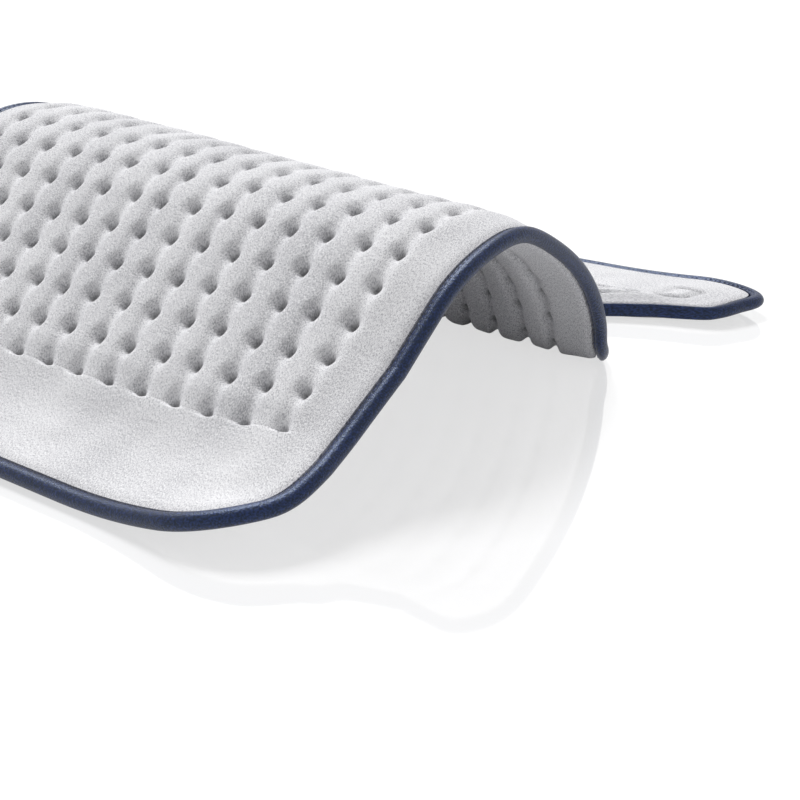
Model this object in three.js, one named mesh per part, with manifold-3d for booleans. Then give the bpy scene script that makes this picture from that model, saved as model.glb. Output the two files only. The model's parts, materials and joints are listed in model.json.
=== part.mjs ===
// A quilted plush heating pad lying in one wave, with the parts inside it. Millimetres, +Z up.
// A place on the pad is given by x, along its width with zero at the right edge, by s, the run across the
// pad from its near edge, and by an offset square to the pad's middle surface.
import * as THREE from 'three';
import { mergeVertices } from 'three/addons/utils/BufferGeometryUtils.js';
import Module from 'manifold-3d';

const wasm = await Module();
wasm.setup();

// Pad outline
const padWidth = 308.4;
const padDepth = 398.6;
const nearCornerRadius = 45;
const farCornerRadius = 43;
const bindingDiameter = 6;
const pieceGap = 0.3;

// Quilting: a grid of tufts between two plain end panels
const nearPanelDepth = 55;
const farPanelDepth = 48.6;
const sideMargin = 29.1;
const rowCount = 20;
const columnCount = 15;
const rowPitch = (padDepth - nearPanelDepth - farPanelDepth) / (rowCount - 1);
const columnPitch = (padWidth - 2 * sideMargin) / (columnCount - 1);

// Half thicknesses, measured from the middle surface
const ribHalf = 4.8;
const pressedRibHalf = 4.2;
const channelHalf = 3.1;
const tuftHalf = 2.3;
const ribEndHalf = 3.6;
const endPanelHalf = 3.8;
const seamHalf = 2.5;
const edgeHalf = 2.1;
const coreHalf = 1.6;
const pocketHalf = 1.6;
const edgeRoll = 18;

// The wave across the pad, as arcs and straights
const nearFlat = 19.5;
const nearBendRadius = 39.5;
const climbAngle = THREE.MathUtils.degToRad(38.3);
const climbLength = 71.2;
const climbGrowthShare = 0.073;
const crestRadius = 62.3;
const easeAngle = THREE.MathUtils.degToRad(16.3);
const fallRadius = 102;
const fallAngle = THREE.MathUtils.degToRad(63.3);
const footRadius = 20;
const nearCornerLift = 17;
const farCornerLift = 6.25;
const liftReach = 91;
const flatCut = 0.5;
const bindingClear = 0.3;
const droopFade = 18;

// The right edge is drawn in behind the wave: places as shares of the depth, draws as shares of the sweep
const edgeSweep = 66;
const sweepFade = 1.5;
const sweepPlaceShares = [0, 0.142, 0.457, 0.671, 0.808, 0.848, 0.878, 0.913, 0.953, 1];
const sweepDrawShares = [0, 0.155, 0.216, 0.371, 1, 0.68, 0.247, 0.195, 0.06, 0.27];

// Steps of the soft forms
const normalStep = 0.05;
const panelStepsAcross = 5;
const panelStepsAlong = 8;
const cornerSteps = 5;
const bindingSides = 6;
const coreSpans = 3;

// Heating layer
const fleeceThickness = 0.6;
const layerGap = 0.45;
const fleeceInset = 16;
const wireDiameter = 0.8;
const wireSides = 6;
const runCount = 10;
const rowsPerRun = 2;
const turnSteps = 6;
const leadDiameter = 1.6;
const leadRow = 15.5;
const leadBend = 6;
const crimpDiameter = 1.8;
const crimpLength = 7;
const cutoutLength = 11;
const cutoutWidth = 5;
const cutoutHeight = 2.2;
const cutoutFromBend = 1;
const swerveSteps = 6;

// Stitched square, with the temperature sensor under it
const squareWidth = 14;
const squareDepth = 12;
const squareFromSide = 29.5;
const squareFromSeam = 8.5;
const stitchWidth = 1.2;
const stitchThickness = 0.5;
const squareSteps = 3;
const sensorLength = 9;
const sensorWidth = 6;
const sensorHeight = 1.7;
const sensorLeadDiameter = 1.2;
const sensorLeadSpacing = 3;

// Coupling socket in the far edge
const socketFromLeft = 66;
const socketWidth = 34;
const socketDepth = 24;
const socketHeight = 8;
const socketWall = 1.6;
const carrierDepth = 8;
const pinCount = 4;
const pinPitch = 5;
const pinDiameter = 1.8;
const pinReach = 6;
const pinTail = 2.4;
const pinClearance = 0.3;
const screwHeadDiameter = 3.6;
const screwHeadHeight = 1;
const screwShankDiameter = 1.8;
const screwClearance = 0.3;
const screwInset = 3.5;
const postDiameter = 4.6;
const roundSegments = 16;
const cutOverrun = 1;

// Colours of the materials
const plush = { color: 0xeeeef0, roughness: 0.95, metalness: 0 };
const navyTape = { color: 0x26324f, roughness: 0.7, metalness: 0 };
const fleece = { color: 0xf4f2ea, roughness: 0.9, metalness: 0 };
const siliconeRed = { color: 0xb8382f, roughness: 0.5, metalness: 0 };
const siliconeWhite = { color: 0xe4e4de, roughness: 0.5, metalness: 0 };
const blackPlastic = { color: 0x1d2026, roughness: 0.55, metalness: 0 };
const greyPlastic = { color: 0x8c9096, roughness: 0.5, metalness: 0 };
const brass = { color: 0xc9a64f, roughness: 0.3, metalness: 1 };
const steel = { color: 0xb9bcc0, roughness: 0.35, metalness: 1 };

const bindingRadius = bindingDiameter / 2;
const panelInset = bindingDiameter + pieceGap;
const restHeight = ribHalf - flatCut;
const edgeDroop = restHeight - bindingRadius - bindingClear;
const sweepReach = padWidth - socketFromLeft - socketWidth / 2 - pieceGap;
const nearSeam = nearPanelDepth;
const farSeam = padDepth - farPanelDepth;

// The pad's shape

function smooth(share) {
  const t = Math.min(Math.max(share, 0), 1);
  return t * t * (3 - 2 * t);
}

function lerp(from, to, share) {
  return from + (to - from) * share;
}

// Monotone cubic through the named draws of the right edge
function sweepAt(s) {
  const places = sweepPlaceShares.map((share) => share * padDepth);
  const draws = sweepDrawShares.map((share) => -share * edgeSweep);
  const slopes = [];
  for (let i = 0; i + 1 < places.length; i += 1) {
    slopes.push((draws[i + 1] - draws[i]) / (places[i + 1] - places[i]));
  }
  const tangents = draws.map((_, i) => {
    const before = slopes[Math.max(i - 1, 0)];
    const after = slopes[Math.min(i, slopes.length - 1)];
    return before * after > 0 ? (2 * before * after) / (before + after) : 0;
  });
  const t = Math.min(Math.max(s, 0), padDepth);
  let i = 0;
  while (i + 2 < places.length && t > places[i + 1]) {
    i += 1;
  }
  const span = places[i + 1] - places[i];
  const u = (t - places[i]) / span;
  const blend = smooth(u);
  const bow = u * (1 - u) * ((1 - u) * tangents[i] - u * tangents[i + 1]) * span;
  return lerp(draws[i], draws[i + 1], blend) + bow;
}

// The arcs and straights at one place along the width
function waveSegments(x) {
  const climb = climbLength - climbGrowthShare * x;
  const rise = nearBendRadius * (1 - Math.cos(climbAngle))
    + climb * Math.sin(climbAngle)
    + crestRadius * (Math.cos(easeAngle) - Math.cos(climbAngle));
  const steepest = (fallRadius * Math.cos(easeAngle) + footRadius - rise) / (fallRadius + footRadius);
  const fall = Math.min(fallAngle, Math.acos(steepest));
  const drop = fallRadius * (Math.cos(easeAngle) - Math.cos(fall)) + footRadius * (1 - Math.cos(fall));
  const straight = Math.max(0, rise - drop) / Math.sin(fall);
  return [
    [nearFlat, 0, 0],
    [nearBendRadius * climbAngle, 0, climbAngle],
    [climb, climbAngle, climbAngle],
    [crestRadius * (climbAngle + easeAngle), climbAngle, -easeAngle],
    [fallRadius * (fall - easeAngle), -easeAngle, -fall],
    [straight, -fall, -fall],
    [footRadius * fall, -fall, 0],
    [padDepth, 0, 0],
  ];
}

// Middle surface of the pad
function middle(x, s) {
  let left = s;
  let y = 0;
  let z = restHeight;
  for (const [length, from, to] of waveSegments(x)) {
    const run = length < padDepth ? Math.min(left, length) : left;
    const turn = to === from ? 0 : ((to - from) * run) / length;
    const mean = from + turn / 2;
    const chord = turn === 0 ? run : (run * Math.sin(turn / 2)) / (turn / 2);
    y += chord * Math.cos(mean);
    z += chord * Math.sin(mean);
    left -= run;
    if (left <= 0) {
      break;
    }
  }
  const rightShare = Math.max(0, 1 + x / liftReach) ** 2;
  z += nearCornerLift * rightShare * Math.max(0, 1 - s / liftReach);
  z += farCornerLift * rightShare * Math.max(0, 1 + (s - padDepth) / liftReach);
  const reach = Math.max(0, 1 + x / sweepReach) ** sweepFade;
  return new THREE.Vector3(x + sweepAt(s) * reach, y, z);
}

function surfaceNormal(x, s) {
  const along = middle(x + normalStep, s).sub(middle(x - normalStep, s));
  const across = middle(x, s + normalStep).sub(middle(x, s - normalStep));
  return along.cross(across).normalize();
}

function place(x, s, offset) {
  return middle(x, s).addScaledVector(surfaceNormal(x, s), offset);
}

// Distance in from the pad's outline
function insideEdge(x, s) {
  const halfWidth = padWidth / 2;
  const halfDepth = padDepth / 2;
  const radius = s < halfDepth ? nearCornerRadius : farCornerRadius;
  const dx = Math.abs(x + halfWidth) - (halfWidth - radius);
  const ds = Math.abs(s - halfDepth) - (halfDepth - radius);
  const outside = Math.hypot(Math.max(dx, 0), Math.max(ds, 0));
  return radius - outside - Math.min(Math.max(dx, ds), 0);
}

// The edge hangs below the middle surface where the pad lies on something, and not in the wave
function droop(x, s) {
  return edgeDroop * (1 - smooth((middle(x, s).z - restHeight) / droopFade));
}

// A height from the middle surface, drawn in and rolled down towards the binding
function rolled(x, s, offset, edgeOffset) {
  const share = smooth((insideEdge(x, s) - panelInset) / edgeRoll);
  return lerp(edgeOffset - droop(x, s), offset, share);
}

// Building closed meshes

class Faces {
  constructor() {
    this.points = [];
  }

  triangle(a, b, c) {
    this.points.push(a, b, c);
  }

  quad(a, b, c, d) {
    this.triangle(a, b, c);
    this.triangle(a, c, d);
  }

  // A strip between two lines of points that run the same way, each point with a measure along the line
  zip(first, second, flip) {
    let i = 0;
    let j = 0;
    while (i + 1 < first.length || j + 1 < second.length) {
      const nextFirst = i + 1 < first.length ? first[i + 1].measure : Infinity;
      const nextSecond = j + 1 < second.length ? second[j + 1].measure : Infinity;
      const onFirst = nextFirst <= nextSecond;
      const a = first[i].point;
      const b = second[j].point;
      const c = onFirst ? first[i + 1].point : second[j + 1].point;
      if (flip) {
        this.triangle(a, c, b);
      } else {
        this.triangle(a, b, c);
      }
      if (onFirst) {
        i += 1;
      } else {
        j += 1;
      }
    }
  }

  geometry() {
    const geometry = new THREE.BufferGeometry().setFromPoints(this.points);
    return mergeVertices(geometry);
  }
}

// A sheet closed round its rim: outer and inner lines run with s, in order of x
function closedSheet(outer, inner, upper) {
  const faces = new Faces();
  for (let i = 0; i + 1 < outer.length; i += 1) {
    faces.zip(outer[i], outer[i + 1], !upper);
  }
  for (let i = 0; i + 1 < inner.length; i += 1) {
    faces.zip(inner[i], inner[i + 1], upper);
  }
  faces.zip(inner[0], outer[0], !upper);
  faces.zip(outer.at(-1), inner.at(-1), !upper);
  const ends = (lines, pick) => lines.map((line) => ({ point: pick(line).point, measure: pick(line).x }));
  const first = (line) => line[0];
  const last = (line) => line.at(-1);
  faces.zip(ends(outer, first), ends(inner, first), !upper);
  faces.zip(ends(inner, last), ends(outer, last), !upper);
  return faces.geometry();
}

function linePoint(x, s, offset) {
  return { point: place(x, s, offset), measure: s, x };
}

function toSolid(geometry) {
  const bare = geometry.clone();
  bare.deleteAttribute('normal');
  bare.deleteAttribute('uv');
  const merged = mergeVertices(bare);
  const mesh = new wasm.Mesh({
    numProp: 3,
    vertProperties: new Float32Array(merged.attributes.position.array),
    triVerts: new Uint32Array(merged.index.array),
  });
  return new wasm.Manifold(mesh);
}

function fromSolid(solid) {
  const mesh = solid.getMesh();
  const geometry = new THREE.BufferGeometry();
  geometry.setAttribute('position', new THREE.BufferAttribute(mesh.vertProperties.slice(), 3));
  geometry.setIndex(new THREE.BufferAttribute(mesh.triVerts.slice(), 1));
  return geometry;
}

function cut(geometry, cutters) {
  let solid = toSolid(geometry);
  for (const cutter of cutters) {
    solid = solid.subtract(toSolid(cutter));
  }
  return fromSolid(solid);
}

function join(geometries) {
  let solid = toSolid(geometries[0]);
  for (const other of geometries.slice(1)) {
    solid = solid.add(toSolid(other));
  }
  return fromSolid(solid);
}

// A box between two corners
function boxBetween(low, high) {
  const size = high.clone().sub(low);
  const centre = high.clone().add(low).multiplyScalar(1 / 2);
  return new THREE.BoxGeometry(size.x, size.y, size.z).translate(centre.x, centre.y, centre.z);
}

// Cylinders that stand along Z or lie along Y, from one end up or back
function standingRod(diameter, length, x, y, z) {
  const rod = new THREE.CylinderGeometry(diameter / 2, diameter / 2, length, roundSegments);
  return rod.rotateX(Math.PI / 2).translate(x, y, z + length / 2);
}

function lyingRod(diameter, length, x, y, z) {
  const rod = new THREE.CylinderGeometry(diameter / 2, diameter / 2, length, roundSegments);
  return rod.translate(x, y + length / 2, z);
}

const pad = new THREE.Group();

function addPiece(name, geometry, finish) {
  const mesh = new THREE.Mesh(geometry, new THREE.MeshStandardMaterial(finish));
  mesh.name = name;
  pad.add(mesh);
}

// Everything below the floor is cut away, so the pad lies flat where it touches
function flattened(geometry) {
  const low = new THREE.Vector3(-2 * padWidth, -padDepth, -ribHalf - cutOverrun);
  const high = new THREE.Vector3(padWidth, 2 * padDepth, 0);
  return cut(geometry, [boxBetween(low, high)]);
}

// Quilted panels: ribs run across the pad, with channels and tufts between them

function halfRows() {
  const stations = [nearSeam + pieceGap / 2];
  for (let i = 1; i < 2 * (rowCount - 1); i += 1) {
    stations.push(nearSeam + (i * rowPitch) / 2);
  }
  stations.push(farSeam - pieceGap / 2);
  return stations;
}

function coreColumns() {
  const columns = [];
  for (let i = 0; i <= coreSpans; i += 1) {
    columns.push(lerp(sideMargin - padWidth, -sideMargin, i / coreSpans));
  }
  return columns;
}

const stations = halfRows();
const columns = coreColumns();

// The cell of a rising list that holds a value, as its index and the share across it
function cellOf(list, value) {
  let i = 0;
  while (i + 2 < list.length && value >= list[i + 1]) {
    i += 1;
  }
  return [i, (value - list[i]) / (list[i + 1] - list[i])];
}

// A place between the covers, on flat triangles between the same rows and columns that the covers bend at
function layerPlace(x, s, offset) {
  if (s >= stations.at(-1)) {
    return place(x, s, offset);
  }
  const [i, shareS] = cellOf(stations, s);
  const [c, shareX] = cellOf(columns, x);
  const nearRight = place(columns[c + 1], stations[i], offset);
  const farLeft = place(columns[c], stations[i + 1], offset);
  const low = shareX + shareS <= 1;
  const corner = low ? place(columns[c], stations[i], offset) : place(columns[c + 1], stations[i + 1], offset);
  const towardsRight = low ? shareX : 1 - shareS;
  const towardsFar = low ? shareS : 1 - shareX;
  return corner.clone()
    .addScaledVector(nearRight.sub(corner), towardsRight)
    .addScaledVector(farLeft.sub(corner), towardsFar);
}

function quiltedPanel(side) {
  const lastStation = stations.length - 1;
  const line = (x, wanted, height, edgeHeight) => {
    const points = [];
    stations.forEach((s, i) => {
      if (wanted(i)) {
        points.push(linePoint(x, s, rolled(x, s, side * height(i), side * edgeHeight)));
      }
    });
    return points;
  };
  const everyStation = () => true;
  const isSeam = (i) => i === 0 || i === lastStation;
  const midRowsOnly = (i) => isSeam(i) || i % 2 === 1;
  const crest = side > 0 ? ribHalf : pressedRibHalf;
  const ribHeight = (i) => (isSeam(i) ? ribEndHalf : crest);
  const channelHeight = (i) => (i % 2 === 1 ? channelHalf : tuftHalf);
  const rimHeight = () => edgeHalf;
  const leftEdge = -padWidth + panelInset;
  const rightEdge = -panelInset;
  const firstColumn = -padWidth + sideMargin;
  const outer = [line(leftEdge, everyStation, rimHeight, edgeHalf)];
  outer.push(line((leftEdge + firstColumn) / 2, midRowsOnly, ribHeight, edgeHalf));
  for (let c = 0; c < columnCount; c += 1) {
    const x = firstColumn + c * columnPitch;
    outer.push(line(x, everyStation, channelHeight, edgeHalf));
    if (c + 1 < columnCount) {
      outer.push(line(x + columnPitch / 2, midRowsOnly, ribHeight, edgeHalf));
    }
  }
  outer.push(line((rightEdge - sideMargin) / 2, midRowsOnly, ribHeight, edgeHalf));
  outer.push(line(rightEdge, everyStation, rimHeight, edgeHalf));
  const coreHeight = () => coreHalf;
  const innerPlaces = [leftEdge, ...columns, rightEdge];
  const inner = innerPlaces.map((x) => line(x, everyStation, coreHeight, pieceGap / 2));
  return closedSheet(outer, inner, side > 0);
}

// Plain end panels with rounded corners

function endPanelStart(fromSide, radius) {
  const into = Math.max(0, radius - fromSide);
  return panelInset + radius - Math.sqrt(radius * radius - into * into);
}

function endPanelPlaces(radius) {
  const fromSide = [];
  for (let i = 0; i < cornerSteps; i += 1) {
    fromSide.push(radius * (1 - Math.cos((i * Math.PI) / 2 / cornerSteps)));
  }
  const left = fromSide.map((d) => -padWidth + panelInset + d);
  const right = fromSide.map((d) => -panelInset - d).reverse();
  const from = -padWidth + panelInset + radius;
  const span = padWidth - 2 * (panelInset + radius);
  const between = [];
  for (let i = 0; i <= panelStepsAlong; i += 1) {
    between.push(from + (span * i) / panelStepsAlong);
  }
  return [...left, ...between, ...right];
}

function endPanel(side, far, hollowHalf) {
  const height = side > 0 ? endPanelHalf : ribHalf;
  const radius = (far ? farCornerRadius : nearCornerRadius) - panelInset;
  const lines = (inner) => endPanelPlaces(radius).map((x) => {
    const fromSide = Math.min(-x, padWidth + x) - panelInset;
    const rim = endPanelStart(fromSide, radius);
    const seam = (far ? farPanelDepth : nearPanelDepth) - pieceGap / 2;
    const points = [];
    for (let j = 0; j <= panelStepsAcross; j += 1) {
      const share = far ? 1 - j / panelStepsAcross : j / panelStepsAcross;
      const fromEdge = lerp(rim, seam, share);
      const s = far ? padDepth - fromEdge : fromEdge;
      const toSeam = smooth((seam - fromEdge) / edgeRoll);
      const outerHeight = lerp(seamHalf, height, toSeam);
      const offset = inner ? hollowHalf : outerHeight;
      const rimOffset = inner ? pieceGap / 2 : edgeHalf;
      points.push(linePoint(x, s, rolled(x, s, side * offset, side * rimOffset)));
    }
    return points;
  });
  return closedSheet(lines(false), lines(true), side > 0);
}

// Tubes that follow the pad: the path is in x and s, and the section stands square to it in the pad

function surfaceTube(path, radius, sides, offset, placing) {
  const faces = new Faces();
  const rings = path.map(([x, s], i) => {
    const [beforeX, beforeS] = path[Math.max(i - 1, 0)];
    const [afterX, afterS] = path[Math.min(i + 1, path.length - 1)];
    const length = Math.hypot(afterX - beforeX, afterS - beforeS);
    const sideX = (afterS - beforeS) / length;
    const sideS = -(afterX - beforeX) / length;
    const ring = [];
    for (let k = 0; k < sides; k += 1) {
      const angle = ((k + 1 / 2) * 2 * Math.PI) / sides;
      const out = radius * Math.cos(angle);
      ring.push(placing(x + sideX * out, s + sideS * out, offset + radius * Math.sin(angle)));
    }
    return ring;
  });
  for (let i = 0; i + 1 < rings.length; i += 1) {
    for (let k = 0; k < sides; k += 1) {
      const next = (k + 1) % sides;
      faces.quad(rings[i][k], rings[i + 1][k], rings[i + 1][next], rings[i][next]);
    }
  }
  const first = rings[0];
  const last = rings.at(-1);
  for (let k = 1; k + 1 < sides; k += 1) {
    faces.triangle(first[0], first[k], first[k + 1]);
    faces.triangle(last[0], last[k + 1], last[k]);
  }
  return faces.geometry();
}

// Points of an arc in x and s, without its first point
function arcPath(centreX, centreS, radius, from, to, steps) {
  const points = [];
  for (let i = 1; i <= steps; i += 1) {
    const angle = lerp(from, to, i / steps);
    points.push([centreX + radius * Math.cos(angle), centreS + radius * Math.sin(angle)]);
  }
  return points;
}

function straightPath(from, to, steps) {
  const points = [];
  for (let i = 1; i <= steps; i += 1) {
    points.push([lerp(from[0], to[0], i / steps), lerp(from[1], to[1], i / steps)]);
  }
  return points;
}

const socketX = -padWidth + socketFromLeft;
const socketSide = socketWidth / 2 + pieceGap;

// Round the pad from one side of the socket to the other
function bindingPath() {
  const low = bindingRadius;
  const left = -padWidth + low;
  const right = -low;
  const farS = padDepth - low;
  const nearBend = nearCornerRadius;
  const farBend = padDepth - farCornerRadius;
  const nearRound = nearCornerRadius - low;
  const farRound = farCornerRadius - low;
  const nearLeft = nearCornerRadius - padWidth;
  const farLeft = farCornerRadius - padWidth;
  const nearStations = [];
  const farStations = [];
  for (let j = 0; j <= panelStepsAcross; j += 1) {
    nearStations.push(lerp(nearBend, nearSeam - pieceGap / 2, j / panelStepsAcross));
    farStations.push(lerp(farSeam + pieceGap / 2, farBend, j / panelStepsAcross));
  }
  const sideStations = [...nearStations, ...stations, ...farStations];
  const path = [[socketX - socketSide, farS]];
  path.push(...straightPath(path[0], [farLeft, farS], 2));
  path.push(...arcPath(farLeft, farBend, farRound, Math.PI / 2, Math.PI, cornerSteps));
  path.push(...sideStations.slice(0, -1).reverse().map((s) => [left, s]));
  path.push(...arcPath(nearLeft, nearBend, nearRound, Math.PI, 1.5 * Math.PI, cornerSteps));
  path.push(...straightPath([nearLeft, low], [-nearCornerRadius, low], panelStepsAlong));
  path.push(...arcPath(-nearCornerRadius, nearBend, nearRound, 1.5 * Math.PI, 2 * Math.PI, cornerSteps));
  path.push(...sideStations.slice(1).map((s) => [right, s]));
  path.push(...arcPath(-farCornerRadius, farBend, farRound, 0, Math.PI / 2, cornerSteps));
  path.push(...straightPath([-farCornerRadius, farS], [socketX + socketSide, farS], panelStepsAlong));
  return path.reverse();
}

// Coupling socket: two shells, a contact carrier, pins and screws

const socketMouth = middle(socketX, padDepth);
const socketMiddle = restHeight;
const socketBottom = socketMiddle - socketHeight / 2;
const socketTop = socketMiddle + socketHeight / 2;
const socketBack = socketMouth.y - socketDepth;
const socketLeft = socketMouth.x - socketWidth / 2;
const socketRight = socketMouth.x + socketWidth / 2;
const cavityHalf = socketHeight / 2 - socketWall;
const cavityBack = socketBack + socketWall;
const carrierFront = cavityBack + pieceGap + carrierDepth;
const carrierSide = socketWidth / 2 - socketWall - postDiameter - pieceGap - socketWall / 2;
const pinPlaces = [];
for (let i = 0; i < pinCount; i += 1) {
  pinPlaces.push(socketMouth.x + (i - (pinCount - 1) / 2) * pinPitch);
}
const screwPlaces = [socketLeft + screwInset, socketRight - screwInset];
const screwY = socketBack + screwInset;
const screwBoreTop = socketTop - socketWall / 2;

function socketOutline(grow) {
  const low = new THREE.Vector3(socketLeft - grow, socketBack - grow, socketBottom - grow);
  const high = new THREE.Vector3(socketRight + grow, socketMouth.y + grow, socketTop + grow);
  return [low, high];
}

function socketCavity() {
  const low = new THREE.Vector3(socketLeft + socketWall, cavityBack, socketMiddle - cavityHalf);
  const high = new THREE.Vector3(
    socketRight - socketWall,
    socketMouth.y + cutOverrun,
    socketMiddle + cavityHalf,
  );
  return boxBetween(low, high);
}

function leadSlot() {
  const half = ((pinCount - 1) * pinPitch + pinDiameter) / 2 + pinClearance;
  const low = new THREE.Vector3(
    socketMouth.x - half,
    socketBack - cutOverrun,
    socketMiddle - pinDiameter / 2 - pinClearance,
  );
  const high = new THREE.Vector3(
    socketMouth.x + half,
    cavityBack + cutOverrun,
    socketMiddle + pinDiameter / 2 + pinClearance,
  );
  return boxBetween(low, high);
}

function socketLowerShell() {
  const [low, high] = socketOutline(0);
  high.z = socketMiddle - pieceGap / 2;
  let shell = cut(boxBetween(low, high), [socketCavity(), leadSlot()]);
  const floor = socketBottom + socketWall;
  const bore = screwShankDiameter + 2 * screwClearance;
  const sink = screwHeadDiameter + 2 * screwClearance;
  for (const x of screwPlaces) {
    const postHeight = high.z - floor + cutOverrun;
    const post = standingRod(postDiameter, postHeight, x, screwY, floor - cutOverrun);
    const through = standingRod(bore, socketHeight, x, screwY, socketBottom - cutOverrun);
    const headRoom = screwHeadHeight + screwClearance + cutOverrun;
    const counterbore = standingRod(sink, headRoom, x, screwY, socketBottom - cutOverrun);
    shell = cut(join([shell, post]), [through, counterbore]);
  }
  return shell;
}

function socketUpperShell() {
  const [low, high] = socketOutline(0);
  low.z = socketMiddle + pieceGap / 2;
  let shell = cut(boxBetween(low, high), [socketCavity(), leadSlot()]);
  const postHeight = socketTop - socketWall / 2 - low.z;
  const bore = screwShankDiameter + 2 * screwClearance;
  for (const x of screwPlaces) {
    const post = standingRod(postDiameter, postHeight, x, screwY, low.z);
    const hole = standingRod(bore, screwBoreTop - low.z + cutOverrun, x, screwY, low.z - cutOverrun);
    shell = cut(join([shell, post]), [hole]);
  }
  return shell;
}

function contactCarrier() {
  const half = cavityHalf - pieceGap;
  const low = new THREE.Vector3(
    socketMouth.x - carrierSide,
    cavityBack + pieceGap,
    socketMiddle - half,
  );
  const high = new THREE.Vector3(socketMouth.x + carrierSide, carrierFront, socketMiddle + half);
  const bores = pinPlaces.map((x) => lyingRod(
    pinDiameter + 2 * pinClearance,
    socketDepth,
    x,
    socketBack,
    socketMiddle,
  ));
  return cut(boxBetween(low, high), bores);
}

function contactPin(x) {
  const back = socketBack - pinTail;
  const length = carrierFront + pinReach - back;
  return lyingRod(pinDiameter, length, x, back, socketMiddle);
}

function socketScrew(x) {
  const shankLow = socketBottom + screwHeadHeight / 2;
  const shankTop = screwBoreTop - screwClearance;
  const head = standingRod(screwHeadDiameter, screwHeadHeight, x, screwY, socketBottom);
  const shank = standingRod(screwShankDiameter, shankTop - shankLow, x, screwY, shankLow);
  return join([head, shank]);
}

// Covers and binding

const socketRoom = boxBetween(...socketOutline(pieceGap));
addPiece('upper_near_end_panel', flattened(endPanel(1, false, pieceGap / 2)), plush);
addPiece('upper_quilted_panel', quiltedPanel(1), plush);
addPiece('upper_far_end_panel', cut(endPanel(1, true, pocketHalf), [socketRoom]), plush);
addPiece('lower_near_end_panel', flattened(endPanel(-1, false, pieceGap / 2)), plush);
addPiece('lower_quilted_panel', quiltedPanel(-1), plush);
addPiece('lower_far_end_panel', flattened(cut(endPanel(-1, true, pocketHalf), [socketRoom])), plush);
const hung = (x, s, offset) => place(x, s, offset - droop(x, s));
addPiece('edge_binding', surfaceTube(bindingPath(), bindingRadius, bindingSides, 0, hung), navyTape);

// A square of stitching that holds the covers together round the sensor

const squareX = -squareFromSide;
const squareS = farSeam + squareFromSeam;

function panelTop(s) {
  const toSeam = smooth((s - farSeam - pieceGap / 2) / edgeRoll);
  return lerp(seamHalf, endPanelHalf, toSeam) + pieceGap;
}

function stitchSquare() {
  const corners = [[-1, -1], [1, -1], [1, 1], [-1, 1]];
  const rings = [];
  corners.forEach(([signX, signS], i) => {
    const [nextX, nextS] = corners[(i + 1) % corners.length];
    for (let k = 0; k < squareSteps; k += 1) {
      const unitX = lerp(signX, nextX, k / squareSteps);
      const unitS = lerp(signS, nextS, k / squareSteps);
      const at = (grow, height) => {
        const x = squareX + unitX * (squareWidth / 2 + grow);
        const s = squareS + unitS * (squareDepth / 2 + grow);
        return place(x, s, panelTop(s) + height);
      };
      rings.push([at(0, 0), at(stitchWidth, 0), at(stitchWidth, stitchThickness), at(0, stitchThickness)]);
    }
  });
  const faces = new Faces();
  rings.forEach((ring, i) => {
    const after = rings[(i + 1) % rings.length];
    ring.forEach((point, k) => {
      const next = (k + 1) % ring.length;
      faces.quad(point, after[k], after[next], ring[next]);
    });
  });
  return faces.geometry();
}

addPiece('corner_stitch_square', stitchSquare(), plush);

// Heating layer: a fleece sheet with the wire laid on it in runs

const fleeceLeft = -padWidth + sideMargin + fleeceInset;
const fleeceRight = -sideMargin;

function fleeceSheet() {
  const rows = stations.slice(1, -1);
  const places = [fleeceLeft, ...columns.slice(1)];
  const lines = (offset) => places.map((x) => rows.map((s) => {
    return { point: layerPlace(x, s, offset), measure: s, x };
  }));
  return closedSheet(lines(-layerGap), lines(-layerGap - fleeceThickness), true);
}

const turnRadius = (rowsPerRun * rowPitch) / 2;
const runLeft = fleeceLeft + turnRadius + wireDiameter;
const runRight = fleeceRight - turnRadius - wireDiameter;
const firstRun = nearSeam + rowPitch / 2;
const runSpacing = rowsPerRun * rowPitch;
const lastRun = firstRun + (runCount - 1) * runSpacing;
const leadX = sideMargin - padWidth;
const tailX = runLeft - leadBend;
const tailEnd = farSeam + wireDiameter;

function wirePath() {
  const between = columns.filter((x) => x > runLeft && x < runRight);
  const path = [[fleeceLeft, firstRun]];
  for (let k = 0; k < runCount; k += 1) {
    const s = firstRun + k * runSpacing;
    const rightward = k % 2 === 0;
    const along = [runLeft, ...between, runRight];
    const run = rightward ? along : along.reverse();
    path.push(...run.map((x) => [x, s]));
    if (k + 1 < runCount) {
      const end = rightward ? Math.PI / 2 : -1.5 * Math.PI;
      path.push(...arcPath(run.at(-1), s + turnRadius, turnRadius, -Math.PI / 2, end, turnSteps).slice(0, -1));
    }
  }
  path.push(...arcPath(runLeft, lastRun + leadBend, leadBend, -Math.PI / 2, -Math.PI, turnSteps / 2));
  path.push([tailX, tailEnd]);
  return path;
}

addPiece('carrier_fleece', fleeceSheet(), fleece);
addPiece(
  'heating_wire',
  surfaceTube(wirePath(), wireDiameter / 2, wireSides, wireDiameter / 2, layerPlace),
  siliconeRed,
);

// Leads from the wire and the sensor to the pins, end to end with a small gap

function addTube(name, path, diameter, finish) {
  addPiece(name, surfaceTube(path, diameter / 2, wireSides, 0, layerPlace), finish);
}

// A bend through a quarter turn
function bend(centreX, centreS, from, to) {
  return arcPath(centreX, centreS, leadBend, from, to, turnSteps / 2);
}

// From one line to another beside it, both straight across the pad
function swerve(from, to) {
  const points = [];
  for (let i = 1; i <= swerveSteps; i += 1) {
    const share = i / swerveSteps;
    points.push([lerp(from[0], to[0], smooth(share)), lerp(from[1], to[1], share)]);
  }
  return points;
}

// A block between the covers, from its left end
function block(left, s, length, width, height) {
  const end = place(left, s, 0);
  return new THREE.BoxGeometry(length, width, height).translate(end.x + length / 2, end.y, end.z);
}

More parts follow.
